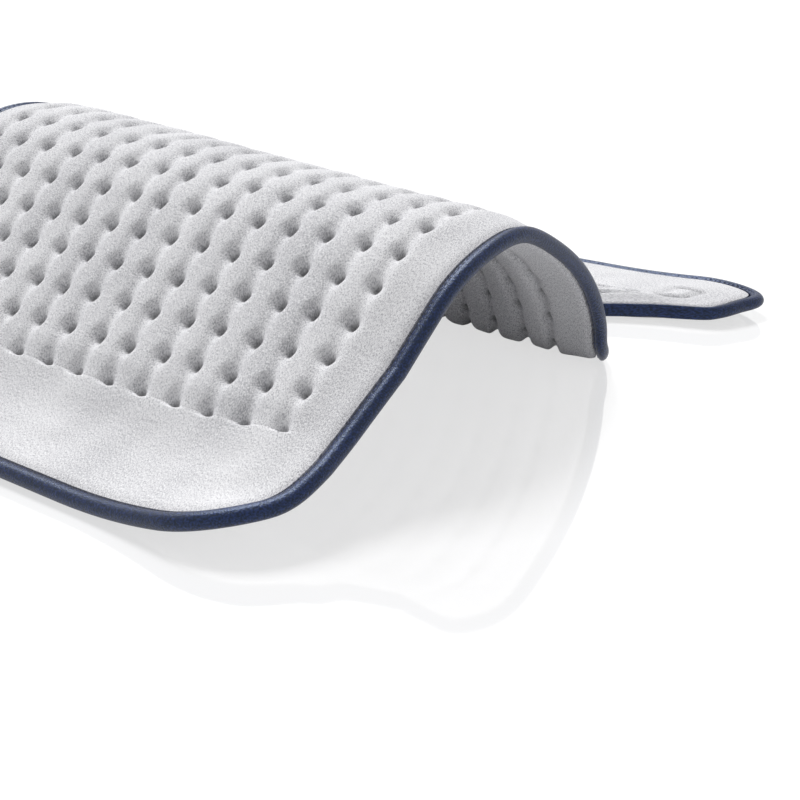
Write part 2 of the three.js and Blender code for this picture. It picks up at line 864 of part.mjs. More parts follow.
const pinX = (i) => socketX + (i - (pinCount - 1) / 2) * pinPitch;
const pinEnd = (i) => padDepth - middle(pinX(i), padDepth).y + socketBack - pinTail - pieceGap;
const leadS = farSeam + leadRow;
const crimpRight = fleeceLeft - pieceGap;
const crimpLeft = crimpRight - crimpLength;
const cutoutLeft = leadX + leadBend + cutoutFromBend;
const tailCrimp = tailEnd + pieceGap;
const liveStart = tailCrimp + crimpLength + pieceGap;

addTube('near_crimp_sleeve', [[crimpLeft, firstRun], [crimpRight, firstRun]], crimpDiameter, steel);
addTube('far_crimp_sleeve', [[tailX, tailCrimp], [tailX, tailCrimp + crimpLength]], crimpDiameter, steel);

const returnPath = [
  [crimpLeft - pieceGap, firstRun],
  [leadX + leadBend, firstRun],
  ...bend(leadX + leadBend, firstRun + leadBend, -Math.PI / 2, -Math.PI),
  ...stations.filter((s) => s > firstRun + 2 * leadBend).map((s) => [leadX, s]),
  [leadX, leadS - leadBend],
  ...bend(leadX + leadBend, leadS - leadBend, Math.PI, Math.PI / 2),
  [cutoutLeft - pieceGap, leadS],
];
addTube('return_lead', returnPath, leadDiameter, siliconeWhite);
addPiece('thermal_cutout', block(cutoutLeft, leadS, cutoutLength, cutoutWidth, cutoutHeight), blackPlastic);

const neutralPath = [
  [cutoutLeft + cutoutLength + pieceGap, leadS],
  [pinX(0) - leadBend, leadS],
  ...bend(pinX(0) - leadBend, leadS + leadBend, -Math.PI / 2, 0),
  [pinX(0), pinEnd(0)],
];
addTube('neutral_lead', neutralPath, leadDiameter, siliconeWhite);

const livePath = [[tailX, liveStart], ...swerve([tailX, liveStart], [pinX(1), pinEnd(1)])];
addTube('live_lead', livePath, leadDiameter, siliconeWhite);

const sensorLeft = squareX - sensorLength / 2;
addPiece('temperature_sensor', block(sensorLeft, squareS, sensorLength, sensorWidth, sensorHeight), blackPlastic);
for (const i of [2, 3]) {
  const s = squareS + (i - 5 / 2) * sensorLeadSpacing;
  const path = [
    [sensorLeft - pieceGap, s],
    [pinX(i) + leadBend, s],
    ...bend(pinX(i) + leadBend, s + leadBend, -Math.PI / 2, -Math.PI),
    [pinX(i), pinEnd(i)],
  ];
  addTube(`sensor_lead_${i - 1}`, path, sensorLeadDiameter, siliconeWhite);
}

// Coupling socket

addPiece('socket_lower_shell', socketLowerShell(), greyPlastic);
addPiece('socket_upper_shell', socketUpperShell(), greyPlastic);
addPiece('contact_carrier', contactCarrier(), blackPlastic);
pinPlaces.forEach((x, i) => addPiece(`contact_pin_${i + 1}`, contactPin(x), brass));
screwPlaces.forEach((x, i) => addPiece(`socket_screw_${i + 1}`, socketScrew(x), steel));

// The origin is in the middle of the pad's outline, at the height of what it lies on
const box = new THREE.Box3().setFromObject(pad);
pad.position.set(-(box.min.x + box.max.x) / 2, -(box.min.y + box.max.y) / 2, -box.min.z);

export default pad;
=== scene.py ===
"""Looks of a quilted plush heating pad that lies in one wave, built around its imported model."""
import json
import math

import bmesh
import bpy
import numpy as np
from bpy.props import FloatProperty, FloatVectorProperty, IntProperty, PointerProperty
from bpy.types import Operator, Panel, PropertyGroup
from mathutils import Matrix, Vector


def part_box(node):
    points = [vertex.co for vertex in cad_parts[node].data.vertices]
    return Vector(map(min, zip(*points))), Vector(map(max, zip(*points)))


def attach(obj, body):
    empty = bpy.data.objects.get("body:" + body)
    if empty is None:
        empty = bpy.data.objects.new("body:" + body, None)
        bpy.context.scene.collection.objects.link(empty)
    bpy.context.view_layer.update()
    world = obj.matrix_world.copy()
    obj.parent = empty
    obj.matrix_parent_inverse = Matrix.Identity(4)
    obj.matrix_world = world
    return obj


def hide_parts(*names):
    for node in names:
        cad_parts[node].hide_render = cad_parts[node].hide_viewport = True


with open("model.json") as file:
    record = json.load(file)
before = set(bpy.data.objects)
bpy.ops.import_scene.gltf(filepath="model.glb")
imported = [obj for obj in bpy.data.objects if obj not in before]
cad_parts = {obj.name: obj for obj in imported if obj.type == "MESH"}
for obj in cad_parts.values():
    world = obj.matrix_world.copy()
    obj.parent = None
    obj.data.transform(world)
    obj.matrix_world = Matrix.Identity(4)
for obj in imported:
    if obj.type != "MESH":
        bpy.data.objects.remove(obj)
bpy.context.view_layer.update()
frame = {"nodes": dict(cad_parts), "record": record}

bl_info = {
    "name": "Quilted heating pad",
    "version": (1, 0, 0),
    "blender": (4, 5, 0),
    "location": "View3D > Sidebar > Heating pad",
    "description": "Builds the covers, tape, stitching, inner parts and stage of a heating pad",
    "category": "Object",
}

MILLIMETRE = 0.001
BODY = "root"
SLOTS = {part["node"]: part["material_slot"] for part in frame["record"]["subparts"]}
# Degrees by which a surface may turn and still be shaded smooth
SOFT_ANGLE = 60
HARD_ANGLE = 35


def size(name, millimetres, description):
    """A length of the pad, written in millimetres and held in metres."""
    length = millimetres * MILLIMETRE
    return FloatProperty(
        name=name, description=description, default=length, precision=5, unit="LENGTH"
    )


def turn(name, degrees, description):
    """An angle of the pad, written in degrees."""
    angle = math.radians(degrees)
    return FloatProperty(name=name, description=description, default=angle, subtype="ANGLE")


def share(name, value, description):
    """A plain share of something."""
    return FloatProperty(name=name, description=description, default=value, precision=4)


def whole(name, number, description):
    """A number of like things."""
    return IntProperty(name=name, description=description, default=number)


def colour(name, red, green, blue, description):
    """A colour, written as the numbers from 0 to 255 that a screen shows."""
    linear = [channel_to_linear(channel / 255) for channel in (red, green, blue)]
    return FloatVectorProperty(
        name=name, description=description, default=linear, size=3, min=0, max=1, subtype="COLOR"
    )


def channel_to_linear(channel):
    """One screen channel as the light it stands for."""
    return channel / 12.92 if channel <= 0.04045 else ((channel + 0.055) / 1.055) ** 2.4


class HeatingPadOutline(PropertyGroup):
    """Sizes of the pad laid flat, and the way it rises and falls in the wave."""

    width: size("Width", 308.4, "Width of the pad laid flat")
    depth: size("Depth", 398.6, "Depth of the pad laid flat")
    near_corner: size("Near corner radius", 45, "Radius of the two near corners")
    far_corner: size("Far corner radius", 43, "Radius of the two far corners")
    gap: size("Gap", 0.3, "Gap between neighbouring pieces")
    near_flat: size("Near flat", 19.5, "Flat run along the near edge")
    near_bend: size("Near bend radius", 39.5, "Radius of the bend at the foot of the climb")
    climb_angle: turn("Climb angle", 38.3, "Slope of the near side of the wave")
    climb_length: size("Climb length", 71.2, "Straight run of the near side, at the right edge")
    climb_growth: share("Climb growth", 0.073, "Growth of the climb per length towards the left")
    crest_radius: size("Crest radius", 62.3, "Radius over the top of the wave")
    ease_angle: turn("Ease angle", 16.3, "Slope where the crest gives way to the fall")
    fall_radius: size("Fall radius", 102, "Radius of the far side of the wave")
    fall_angle: turn("Fall angle", 63.3, "Steepest slope of the far side")
    foot_radius: size("Foot radius", 20, "Radius of the bend at the foot of the fall")
    near_lift: size("Near corner lift", 17, "Lift of the near right corner")
    far_lift: size("Far corner lift", 6.25, "Lift of the far right corner")
    lift_reach: size("Lift reach", 91, "Distance over which a corner's lift fades")
    crest_lift: size("Crest lift", 2.6, "Lift of the top of the wave at the right edge")
    crest_place: size("Crest place", 170, "Way along the pad from the near edge to that lift")
    crest_reach: size("Crest reach", 19, "Distance over which that lift fades")
    corner_lift: size("Corner lift", 2.4, "Lift of the side edge where the near corner ends")
    corner_place: size("Corner place", 38, "Way along the pad from the near edge to that lift")
    corner_reach: size("Corner reach", 12, "Distance over which that lift fades")
    flat_cut: size("Flat cut", 0.5, "Depth by which the padding is flat where it lies")
    binding_clear: size("Tape clearance", 0.3, "Height of the edge tape over what the pad lies on")
    droop_fade: size("Droop fade", 18, "Height of the wave over which the edge stops hanging")
    sweep: size("Edge sweep", 66, "Draw of the right edge behind the wave")
    sweep_fade: share("Sweep fade", 1.5, "Power by which the sweep fades towards the left")
    socket_from_left: size("Socket from left", 66, "From the left edge to the coupling socket")
    socket_width: size("Socket width", 34, "Width of the coupling socket")
    socket_height: size("Socket height", 8, "Height of the coupling socket")


class HeatingPadQuilt(PropertyGroup):
    """Sizes of the padding: ribs, tufts, seams and the rim. Heights are from the middle surface."""

    near_panel: size("Near panel depth", 55, "Depth of the plain near panel")
    far_panel: size("Far panel depth", 48.6, "Depth of the plain far panel")
    side_margin: size("Side margin", 29.1, "Distance of the outer tufts from the side edges")
    rows: whole("Rows", 20, "Tufts from the near seam to the far seam")
    columns: whole("Columns", 15, "Tufts across the width")
    rib: size("Rib height", 6.2, "Height of a rib on the upper side")
    lower_rib: size("Lower rib height", 5.8, "Height of a rib on the lower side")
    channel: size("Channel depth", 1.4, "Depth of the channel between two upper ribs")
    lower_channel: size("Lower channel depth", 2.9, "Depth of the channel between two lower ribs")
    channel_width: size("Channel width", 3.4, "Half width of an upper channel")
    lower_channel_width: size("Lower channel width", 2.7, "Half width of a lower channel")
    tuft: size("Tuft height", 1.25, "Lowest height at a tuft, on the upper side")
    lower_tuft: size("Lower tuft height", 1.5, "Lowest height at a tuft, on the lower side")
    pit_radius: size("Pit radius", 1.9, "Radius of the steep pit at a tuft")
    pit_wall: size("Pit wall", 0.85, "Half width of a pit's steep wall")
    dish_radius: size("Dish radius", 6.8, "Radius of the shallow dish round a pit")
    dish: share("Dish share", 0.42, "Share of a tuft's depth that its shallow dish takes")
    end_round: size("Rib end", 10, "Length over which a rib falls to an end panel")
    seam: size("Seam depth", 0.1, "Depth of the sewn line at an end panel")
    seam_width: size("Seam width", 0.9, "Half width of the sewn line at an end panel")
    panel: size("End panel height", 4.9, "Height of a plain upper end panel")
    lower_panel: size("Lower end panel height", 4.8, "Height of a plain lower end panel")
    edge: size("Rim height", 2.2, "Height of the covers at the edge tape")
    core: size("Core height", 0.95, "Height of the hollow under the upper cover")
    lower_core: size("Lower core height", 1.2, "Depth of the hollow over the lower cover")
    lead_core: size("Lead core height", 1.6, "Half of the hollow at the far end, for the leads")
    margin: size("Margin height", 3.3, "Height of the covers just inside their rolled rim")
    margin_width: size("Margin width", 24, "Width over which the covers swell from the rim")
    edge_roll: size("Edge roll", 4.5, "Width over which the covers roll down to the rim")
    pucker: size("Pucker", 0.3, "Height of the small folds along the edge tape")
    unevenness: size("Unevenness", 0.16, "Height of the soft unevenness of the filling")
    wander: size("Wander", 0.5, "Distance by which tufts stray from their grid")


class HeatingPadTrim(PropertyGroup):
    """Sizes of the edge tape and the stitched square."""

    tape_diameter: size("Tape diameter", 6, "Width of the piped edge")
    groove: size("Tape groove", 0.42, "Depth of the stitched line along the tape")
    lip: size("Tape lip", 0.22, "Height of the tape's turned edge beside its stitched line")
    stitch: size("Stitch length", 2.6, "Distance between stitches")
    square_width: size("Square width", 14, "Width of the stitched square")
    square_depth: size("Square depth", 12, "Depth of the stitched square")
    square_from_side: size("Square from side", 29.5, "From the right edge to the square's middle")
    square_from_seam: size("Square from seam", 8.5, "From the far seam to the square's middle")
    thread: size("Thread", 0.6, "Thickness of the sewing thread")
    press: size("Press depth", 2.2, "Depth to which the stitches press the square into the plush")
    press_width: size("Press width", 1.2, "Half width of the pressed line")


class HeatingPadLayer(PropertyGroup):
    """Sizes of the heating layer and its leads."""

    fleece: size("Fleece thickness", 0.6, "Thickness of the sheet that carries the wire")
    fleece_gap: size("Fleece depth", 0.45, "Depth of the fleece's top under the middle surface")
    fleece_inset: size("Fleece inset", 16, "From the outer tufts to the fleece's left end")
    wire: size("Wire diameter", 0.8, "Diameter of the heating wire")
    lead: size("Lead diameter", 1.6, "Diameter of the mains leads")
    sensor_lead: size("Sensor lead diameter", 1.2, "Diameter of the sensor's leads")
    sensor_spacing: size("Sensor lead spacing", 3, "Distance between the sensor's leads")
    sensor_length: size("Sensor length", 9, "Length of the temperature sensor")
    bend: size("Lead bend", 6, "Radius of a lead's bends")
    lead_row: size("Lead row", 15.5, "From the far seam to the lead along the far end")
    crimp: size("Crimp length", 7, "Length of a crimp sleeve")
    cutout: size("Cutout length", 11, "Length of the thermal cutout")
    cutout_from_bend: size("Cutout from bend", 1, "From its lead's bend to the thermal cutout")
    pin_pitch: size("Pin pitch", 5, "Distance between the socket's pins")
    pin_tail: size("Pin tail", 2.4, "Length of a pin behind the socket")
    edge: size("Edge round", 0.35, "Rounding of the edges of moulded and turned parts")
    runs: whole("Runs", 10, "Runs of the heating wire across the pad")


class HeatingPadColours(PropertyGroup):
    """Colours of the finishes and the stage."""

    plush: colour("Plush", 250, 250, 252, "Short pile of the covers")
    plush_deep: colour("Plush depth", 184, 184, 189, "Pile seen between its tips")
    tape: colour("Tape", 40, 52, 98, "Satin of the edge tape")
    tape_deep: colour("Tape depth", 4, 6, 17, "Between the yarns of the tape")
    thread: colour("Thread", 222, 223, 226, "Sewing thread of the square")
    fleece: colour("Fleece", 240, 238, 230, "Sheet that carries the wire")
    fleece_deep: colour("Fleece depth", 212, 208, 196, "Fleece seen between its fibres")
    wire: colour("Heating wire", 184, 56, 47, "Silicone round the heating wire")
    lead: colour("Leads", 226, 226, 220, "Silicone round the leads")
    black: colour("Black plastic", 30, 32, 38, "Carrier, cutout and sensor")
    grey: colour("Grey plastic", 140, 144, 150, "Shells of the socket")
    brass: colour("Brass", 205, 170, 92, "Contact pins")
    steel: colour("Steel", 186, 189, 193, "Screws and crimp sleeves")
    floor: colour("Floor", 245, 245, 246, "Floor under the pad")


# The pad's shape

# Where the right edge is drawn in, as shares of the depth, and by which shares of the sweep
SWEEP_PLACES = (0, 0.142, 0.457, 0.671, 0.808, 0.848, 0.878, 0.913, 0.953, 1)
SWEEP_DRAWS = (0, 0.155, 0.216, 0.371, 1, 0.68, 0.29, 0.19, 0.07, 0.24)
NORMAL_STEP = 0.05 * MILLIMETRE
EDGE_FULLNESS = 2.4
WAVE_SPREAD = (0.7, 1.5)


def smooth(value):
    """Zero to one with no slope at either end."""
    t = np.clip(value, 0, 1)
    return t * t * (3 - 2 * t)


def lerp(start, end, along):
    """A value between two others."""
    return start + (end - start) * along


def hump(away, width):
    """One in the middle, falling off softly on both sides."""
    return np.exp(-((away / width) ** 2))


def beyond(dx, ds):
    """Distance from a rectangle, less than zero inside it, from the distances past its sides."""
    return np.hypot(np.maximum(dx, 0), np.maximum(ds, 0)) + np.minimum(np.maximum(dx, ds), 0)


class PadSurface:
    """Places on the pad: x from the right edge, s from the near edge, and a height."""

    def __init__(self):
        scene = bpy.context.scene
        self.outline = scene.heating_pad_outline
        self.quilt = scene.heating_pad_quilt
        self.trim = scene.heating_pad_trim
        o, q = self.outline, self.quilt
        self.tape_radius = self.trim.tape_diameter / 2
        self.inset = self.trim.tape_diameter + o.gap
        self.rest_height = q.lower_panel - o.flat_cut
        self.edge_droop = self.rest_height - self.tape_radius - o.binding_clear
        self.sweep_reach = o.width - o.socket_from_left - o.socket_width / 2 - o.gap
        self.near_seam = q.near_panel
        self.far_seam = o.depth - q.far_panel
        self.row_pitch = (self.far_seam - self.near_seam) / (q.rows - 1)
        self.column_pitch = (o.width - 2 * q.side_margin) / (q.columns - 1)
        self.origin = np.zeros(3)
        self.origin = self.find_origin()

    def find_origin(self):
        """Where the right end of the near edge is, from the socket that both models share."""
        low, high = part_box("socket_lower_shell")
        x = self.outline.socket_from_left - self.outline.width
        mouth = self.middle(x, self.outline.depth)
        bottom = self.rest_height - self.outline.socket_height / 2
        return np.array([(low.x + high.x) / 2 - x, high.y - mouth[1], low.z - bottom])

    def sweep_at(self, s):
        """How far the right edge is drawn in, by a monotone cubic through its named places."""
        places = np.array(SWEEP_PLACES) * self.outline.depth
        draws = -np.array(SWEEP_DRAWS) * self.outline.sweep
        slopes = np.diff(draws) / np.diff(places)
        before = np.concatenate([slopes[:1], slopes])
        after = np.concatenate([slopes, slopes[-1:]])
        product = before * after
        total = np.where(product > 0, before + after, 1)
        tangents = np.where(product > 0, 2 * product / total, 0)
        t = np.clip(s, 0, self.outline.depth)
        i = np.clip(np.searchsorted(places, t, side="left") - 1, 0, len(slopes) - 1)
        span = places[i + 1] - places[i]
        u = (t - places[i]) / span
        bow = u * (1 - u) * ((1 - u) * tangents[i] - u * tangents[i + 1]) * span
        return lerp(draws[i], draws[i + 1], smooth(u)) + bow

    def wave(self, x):
        """Length, first slope and last slope of each arc and straight of the wave."""
        o = self.outline
        ease = math.cos(o.ease_angle)
        climb = o.climb_length - o.climb_growth * x
        rise = (
            o.near_bend * (1 - math.cos(o.climb_angle))
            + climb * math.sin(o.climb_angle)
            + o.crest_radius * (ease - math.cos(o.climb_angle))
        )
        steepest = (o.fall_radius * ease + o.foot_radius - rise) / (o.fall_radius + o.foot_radius)
        fall = np.minimum(o.fall_angle, np.arccos(steepest))
        drop = o.fall_radius * (ease - np.cos(fall)) + o.foot_radius * (1 - np.cos(fall))
        straight = np.maximum(0, rise - drop) / np.sin(fall)
        return (
            (o.near_flat, 0, 0),
            (o.near_bend * o.climb_angle, 0, o.climb_angle),
            (climb, o.climb_angle, o.climb_angle),
            (o.crest_radius * (o.climb_angle + o.ease_angle), o.climb_angle, -o.ease_angle),
            (o.fall_radius * (fall - o.ease_angle), -o.ease_angle, -fall),
            (straight, -fall, -fall),
            (o.foot_radius * fall, -fall, 0),
        )

    def middle(self, x, s):
        """Points of the middle surface."""
        x, s = np.broadcast_arrays(np.asarray(x, float), np.asarray(s, float))
        y = np.zeros(s.shape)
        z = np.full(s.shape, self.rest_height)
        left = s.copy()
        for place, (length, start, end) in enumerate(self.wave(x)):
            run = np.minimum(left if place == 0 else np.maximum(left, 0), length)
            bend = (end - start) * run / np.maximum(length, NORMAL_STEP)
            mean = start + bend / 2
            chord = run * np.sinc(bend / 2 / math.pi)
            y = y + chord * np.cos(mean)
            z = z + chord * np.sin(mean)
            left = left - run
        y = y + np.maximum(left, 0)
        o = self.outline
        right = np.maximum(0, 1 + x / o.lift_reach) ** 2
        z = z + o.near_lift * right * np.maximum(0, 1 - s / o.lift_reach)
        z = z + o.far_lift * right * np.maximum(0, 1 + (s - o.depth) / o.lift_reach)
        z = z + o.crest_lift * right * hump(s - o.crest_place, o.crest_reach)
        z = z + o.corner_lift * right * hump(s - o.corner_place, o.corner_reach)
        reach = np.maximum(0, 1 + x / self.sweep_reach) ** o.sweep_fade
        return np.stack([x + self.sweep_at(s) * reach, y, z], -1) + self.origin

    def normal(self, x, s):
        """Directions square to the middle surface."""
        along = self.middle(x + NORMAL_STEP, s) - self.middle(x - NORMAL_STEP, s)
        across = self.middle(x, s + NORMAL_STEP) - self.middle(x, s - NORMAL_STEP)
        square = np.cross(along, across)
        return square / np.linalg.norm(square, axis=-1, keepdims=True)

    def place(self, x, s, height):
        """Points at a height over the middle surface."""
        return self.middle(x, s) + self.normal(x, s) * np.asarray(height)[..., None]

    def inside(self, x, s):
        """Distance in from the pad's outline."""
        o = self.outline
        radius = np.where(s < o.depth / 2, o.near_corner, o.far_corner)
        dx = np.abs(x + o.width / 2) - (o.width / 2 - radius)
        ds = np.abs(s - o.depth / 2) - (o.depth / 2 - radius)
        return radius - beyond(dx, ds)

    def droop(self, x, s):
        """How far the edge hangs below the middle surface where the pad lies on something."""
        height = self.middle(x, s)[..., 2] - self.rest_height - self.origin[2]
        return self.edge_droop * (1 - smooth(height / self.outline.droop_fade))

    def rolled(self, x, s, height, edge):
        """A height rolled down to the rim."""
        into = self.inside(x, s) - self.inset
        swell = smooth(into / self.quilt.margin_width)
        margin = np.sign(edge) * np.minimum(np.abs(height), self.quilt.margin)
        height = lerp(margin - self.droop(x, s), height, swell)
        left = 1 - np.clip(into / self.quilt.edge_roll, 0, 1)
        return lerp(edge - self.droop(x, s), height, 1 - left**EDGE_FULLNESS)


def waves(x, s, wavelength, count, seed):
    """Soft seeded unevenness between about minus one and one."""
    draw = np.random.default_rng(seed)
    total = np.zeros(np.broadcast(x, s).shape)
    for _ in range(count):
        heading = draw.uniform(0, math.tau)
        number = math.tau / (wavelength * draw.uniform(*WAVE_SPREAD))
        phase = draw.uniform(0, math.tau)
        total = total + np.sin(number * (x * math.cos(heading) + s * math.sin(heading)) + phase)
    return total / math.sqrt(count)


# Building closed meshes


def grid_faces(lines, points, first):
    """Four-sided faces between the points of neighbouring lines."""
    start = np.arange(lines - 1)[:, None] * points + np.arange(points - 1)[None, :] + first
    faces = np.stack([start, start + 1, start + points + 1, start + points], -1)
    return faces.reshape(-1, 4).tolist()


def zip_faces(first, first_measure, second, second_measure):
    """Three-sided faces between two lines of different numbers of points."""
    faces = []
    i = j = 0
    while i + 1 < len(first) or j + 1 < len(second):
        next_first = first_measure[i + 1] if i + 1 < len(first) else math.inf
        next_second = second_measure[j + 1] if j + 1 < len(second) else math.inf
        if next_first <= next_second:
            faces.append((first[i], second[j], first[i + 1]))
            i += 1
        else:
            faces.append((first[i], second[j], second[j + 1]))
            j += 1
    return faces


def closed_sheet(outer, x, s, inner, inner_x, inner_s):
    """Points, faces and flat places of a sheet with two sides, closed round its rim."""
    outer_at = np.arange(x.size).reshape(x.shape)
    inner_at = np.arange(inner_x.size).reshape(inner_x.shape) + x.size
    faces = grid_faces(*x.shape, 0) + grid_faces(*inner_x.shape, x.size)
    for end in (0, -1):
        faces += zip_faces(outer_at[end], s[end], inner_at[end], inner_s[end])
        faces += zip_faces(outer_at[:, end], x[:, end], inner_at[:, end], inner_x[:, end])
    points = np.concatenate([outer.reshape(-1, 3), inner.reshape(-1, 3)])
    sides = ((x, s), (inner_x, inner_s))
    flat = np.concatenate([np.stack(side, -1).reshape(-1, 2) for side in sides])
    return points, faces, flat


def only(piece):
    """Selects a piece alone and makes it active."""
    bpy.ops.object.select_all(action="DESELECT")
    piece.select_set(True)
    bpy.context.view_layer.objects.active = piece


def add_object(name, data):
    """A new object in the scene."""
    made = bpy.data.objects.new(name, data)
    bpy.context.scene.collection.objects.link(made)
    return made


def smooth_shading(piece, angle):
    """Smooth faces with a sharp edge wherever the surface turns by more than the angle."""
    only(piece)
    bpy.ops.object.shade_smooth_by_angle(angle=math.radians(angle))


def add_mesh(name, points, faces):
    """An object at the origin with a closed mesh whose faces point outwards."""
    mesh = bpy.data.meshes.new(name)
    mesh.from_pydata(np.asarray(points).tolist(), [], [[int(i) for i in face] for face in faces])
    turned = bmesh.new()
    turned.from_mesh(mesh)
    bmesh.ops.recalc_face_normals(turned, faces=turned.faces)
    if turned.calc_volume(signed=True) < 0:
        bmesh.ops.reverse_faces(turned, faces=turned.faces)
    turned.to_mesh(mesh)
    turned.free()
    piece = add_object(name, mesh)
    smooth_shading(piece, SOFT_ANGLE)
    return piece


def finish_piece(piece, node_name, finish_name):
    """Gives a piece its finish, its body and the node that it stands for."""
    piece.data.materials.clear()
    piece.data.materials.append(finish(finish_name))
    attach(piece, BODY)
    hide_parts(node_name)


# Covers

# Soft unevenness: its wavelength, its number of waves and its seed
STRAY_ACROSS = (45 * MILLIMETRE, 6, 3)
STRAY_ALONG = (45 * MILLIMETRE, 6, 4)
FILLING = (26 * MILLIMETRE, 8, 5)
FOLDS = (7 * MILLIMETRE, 5, 8)
FOLD_FADE = 6 * MILLIMETRE
SEAM_GAP = 0.04 * MILLIMETRE
PANEL_STEEPNESS = 3.4
SEAM_DRAW = 1.3
# Share of painted shade that the square's pressed line gets in the shade mask
SQUARE_PAINTED_SHADE = 0.55
# Shares of half a pitch, from one tuft to the middle between two
FINE_SHARES = (0, 0.08, 0.16, 0.24, 0.31, 0.38, 0.45, 0.53, 0.63, 0.75, 0.87, 1)
PLAIN_SHARES = (0, 0.12, 0.24, 0.34, 0.44, 0.55, 0.7, 1)
MARGIN_STEPS = 12
INNER_GRID = (56, 96)
# Steps round a corner, along an end panel and across it
END_GRID = (22, 200, 60)
INNER_END_GRID = (10, 40, 16)


def spread(pitch, count, shares):
    """Places over whole pitches, closer together beside each tuft."""
    half = np.array(shares)
    cell = np.concatenate([half[:-1] / 2, 1 - half[::-1] / 2])
    places = [(start + cell[:-1]) * pitch for start in range(count)]
    return np.concatenate(places + [np.array([count * pitch])])


def line_press(pad, x, s):
    """How far the square's stitched line presses its panel down, from zero to one."""
    trim = pad.trim
    dx = np.abs(x + trim.square_from_side) - trim.square_width / 2
    ds = np.abs(s - pad.far_seam - trim.square_from_seam) - trim.square_depth / 2
    return hump(beyond(dx, ds), trim.press_width)


def cover_height(pad, x, s, side):
    """Height of a cover and a mask of painted shade for its pits and pressed line: ribs, channels,
    a pit at each tuft, plain panels.
    """
    q = pad.quilt
    upper = side > 0
    if upper:
        rib, panel, tuft, channel, width = q.rib, q.panel, q.tuft, q.channel, q.channel_width
    else:
        rib, panel, tuft = q.lower_rib, q.lower_panel, q.lower_tuft
        channel, width = q.lower_channel, q.lower_channel_width
    into = np.minimum(s - pad.near_seam, pad.far_seam - s)
    moved_x = x + q.wander * waves(x, s, *STRAY_ACROSS)
    moved_s = s + q.wander * waves(x, s, *STRAY_ALONG) * smooth(into / pad.row_pitch)
    column = -(moved_x + q.side_margin) / pad.column_pitch
    row = (moved_s - pad.near_seam) / pad.row_pitch
    aside = (column - np.clip(np.round(column), 0, q.columns - 1)) * pad.column_pitch
    along = (row - np.clip(np.round(row), 0, q.rows - 1)) * pad.row_pitch
    away = np.hypot(aside, np.where(into < 0, PANEL_STEEPNESS, 1) * along)
    ground = lerp(panel, rib, smooth(into / q.end_round))
    ground = ground + q.unevenness * waves(x, s, *FILLING)
    dip = channel * hump(aside, width) * smooth(1 + into / q.pit_radius)
    seam = q.seam * hump(into, q.seam_width)
    wall = 0.5 - 0.5 * np.tanh((away - q.pit_radius) / q.pit_wall)
    dish = 1 - smooth(away / q.dish_radius)
    ground = ground - dip - seam
    height = ground - (ground - tuft) * lerp(wall, dish, q.dish)
    # The second value is where painted shade goes: the steep wall of each pit, and on the upper
    # side the square's pressed line too
    if not upper:
        return height, wall
    # The square's pressed line sinks the cover and also gets painted shade
    pressed = line_press(pad, x, s)
    return height - pad.trim.press * pressed, np.maximum(wall, SQUARE_PAINTED_SHADE * pressed)


def folds(pad, x, s):
    """Small folds that run in from the edge tape."""
    inside = pad.inside(x, s) - pad.inset
    return pad.quilt.pucker * hump(inside, FOLD_FADE) * waves(x, s, *FOLDS)


def laid_points(pad, x, s, height, edge):
    """Points of a cover rolled down to its rim, and flat where they would lie below the floor."""
    points = pad.place(x, s, pad.rolled(x, s, height, edge))
    points[..., 2] = np.maximum(points[..., 2], 0)
    return points


def cover_mesh(pad, side, hollow, outer_places, inner_places):
    """Points, faces, flat places and the painted shade mask of a cover over its hollow."""
    x, s = outer_places
    height, pressed = cover_height(pad, x, s, side)
    height = side * (height + folds(pad, x, s))
    outer = laid_points(pad, x, s, height, side * pad.quilt.edge)
    core = np.full(inner_places[0].shape, side * hollow)
    inner = laid_points(pad, *inner_places, core, side * pad.outline.gap / 2)
    return *closed_sheet(outer, x, s, inner, *inner_places), pressed.ravel()


def quilted_cover(pad, side):
    """The mesh of one quilted cover."""
    o, q = pad.outline, pad.quilt
    shares = FINE_SHARES if side > 0 else PLAIN_SHARES
    columns = spread(pad.column_pitch, q.columns - 1, shares) - o.width + q.side_margin
    slope = np.array(shares[1:]) * pad.column_pitch / 2
    rest = q.side_margin - pad.inset - slope[-1]
    steps = np.arange(1, MARGIN_STEPS + 1) / MARGIN_STEPS
    margin = np.concatenate([slope, slope[-1] + rest * steps])
    lines = np.concatenate([columns[0] - margin[::-1], columns, columns[-1] + margin])
    stations = spread(pad.row_pitch, q.rows - 1, shares) + pad.near_seam
    stations[0] += SEAM_GAP / 2
    stations[-1] -= SEAM_GAP / 2
    inner_lines = np.linspace(lines[0], lines[-1], INNER_GRID[0])
    inner_stations = np.linspace(stations[0], stations[-1], INNER_GRID[1])
    outer_places = np.meshgrid(lines, stations, indexing="ij")
    inner_places = np.meshgrid(inner_lines, inner_stations, indexing="ij")
    hollow = q.core if side > 0 else q.lower_core
    return cover_mesh(pad, side, hollow, outer_places, inner_places)


def end_panel_grid(pad, far, corner_steps, long_steps, deep_steps):
    """Lines of places over a plain end panel with two round corners."""
    o = pad.outline
    radius = (o.far_corner if far else o.near_corner) - pad.inset
    bend = radius * (1 - np.cos(np.arange(corner_steps) * math.pi / 2 / corner_steps))
    left = -o.width + pad.inset
    between = np.linspace(left + radius, -pad.inset - radius, long_steps + 1)
    lines = np.concatenate([left + bend, between, (-pad.inset - bend)[::-1]])
    along = 1 - (1 - np.linspace(0, 1, deep_steps + 1)) ** SEAM_DRAW
    x, share_in = np.meshgrid(lines, along, indexing="ij")
    from_side = np.minimum(-x, o.width + x) - pad.inset
    into = np.maximum(0, radius - from_side)
    start = pad.inset + radius - np.sqrt(np.maximum(radius**2 - into**2, 0))
    depth = pad.quilt.far_panel if far else pad.quilt.near_panel
    from_edge = lerp(start, depth - SEAM_GAP / 2, share_in)
    return x, (o.depth - from_edge if far else from_edge)


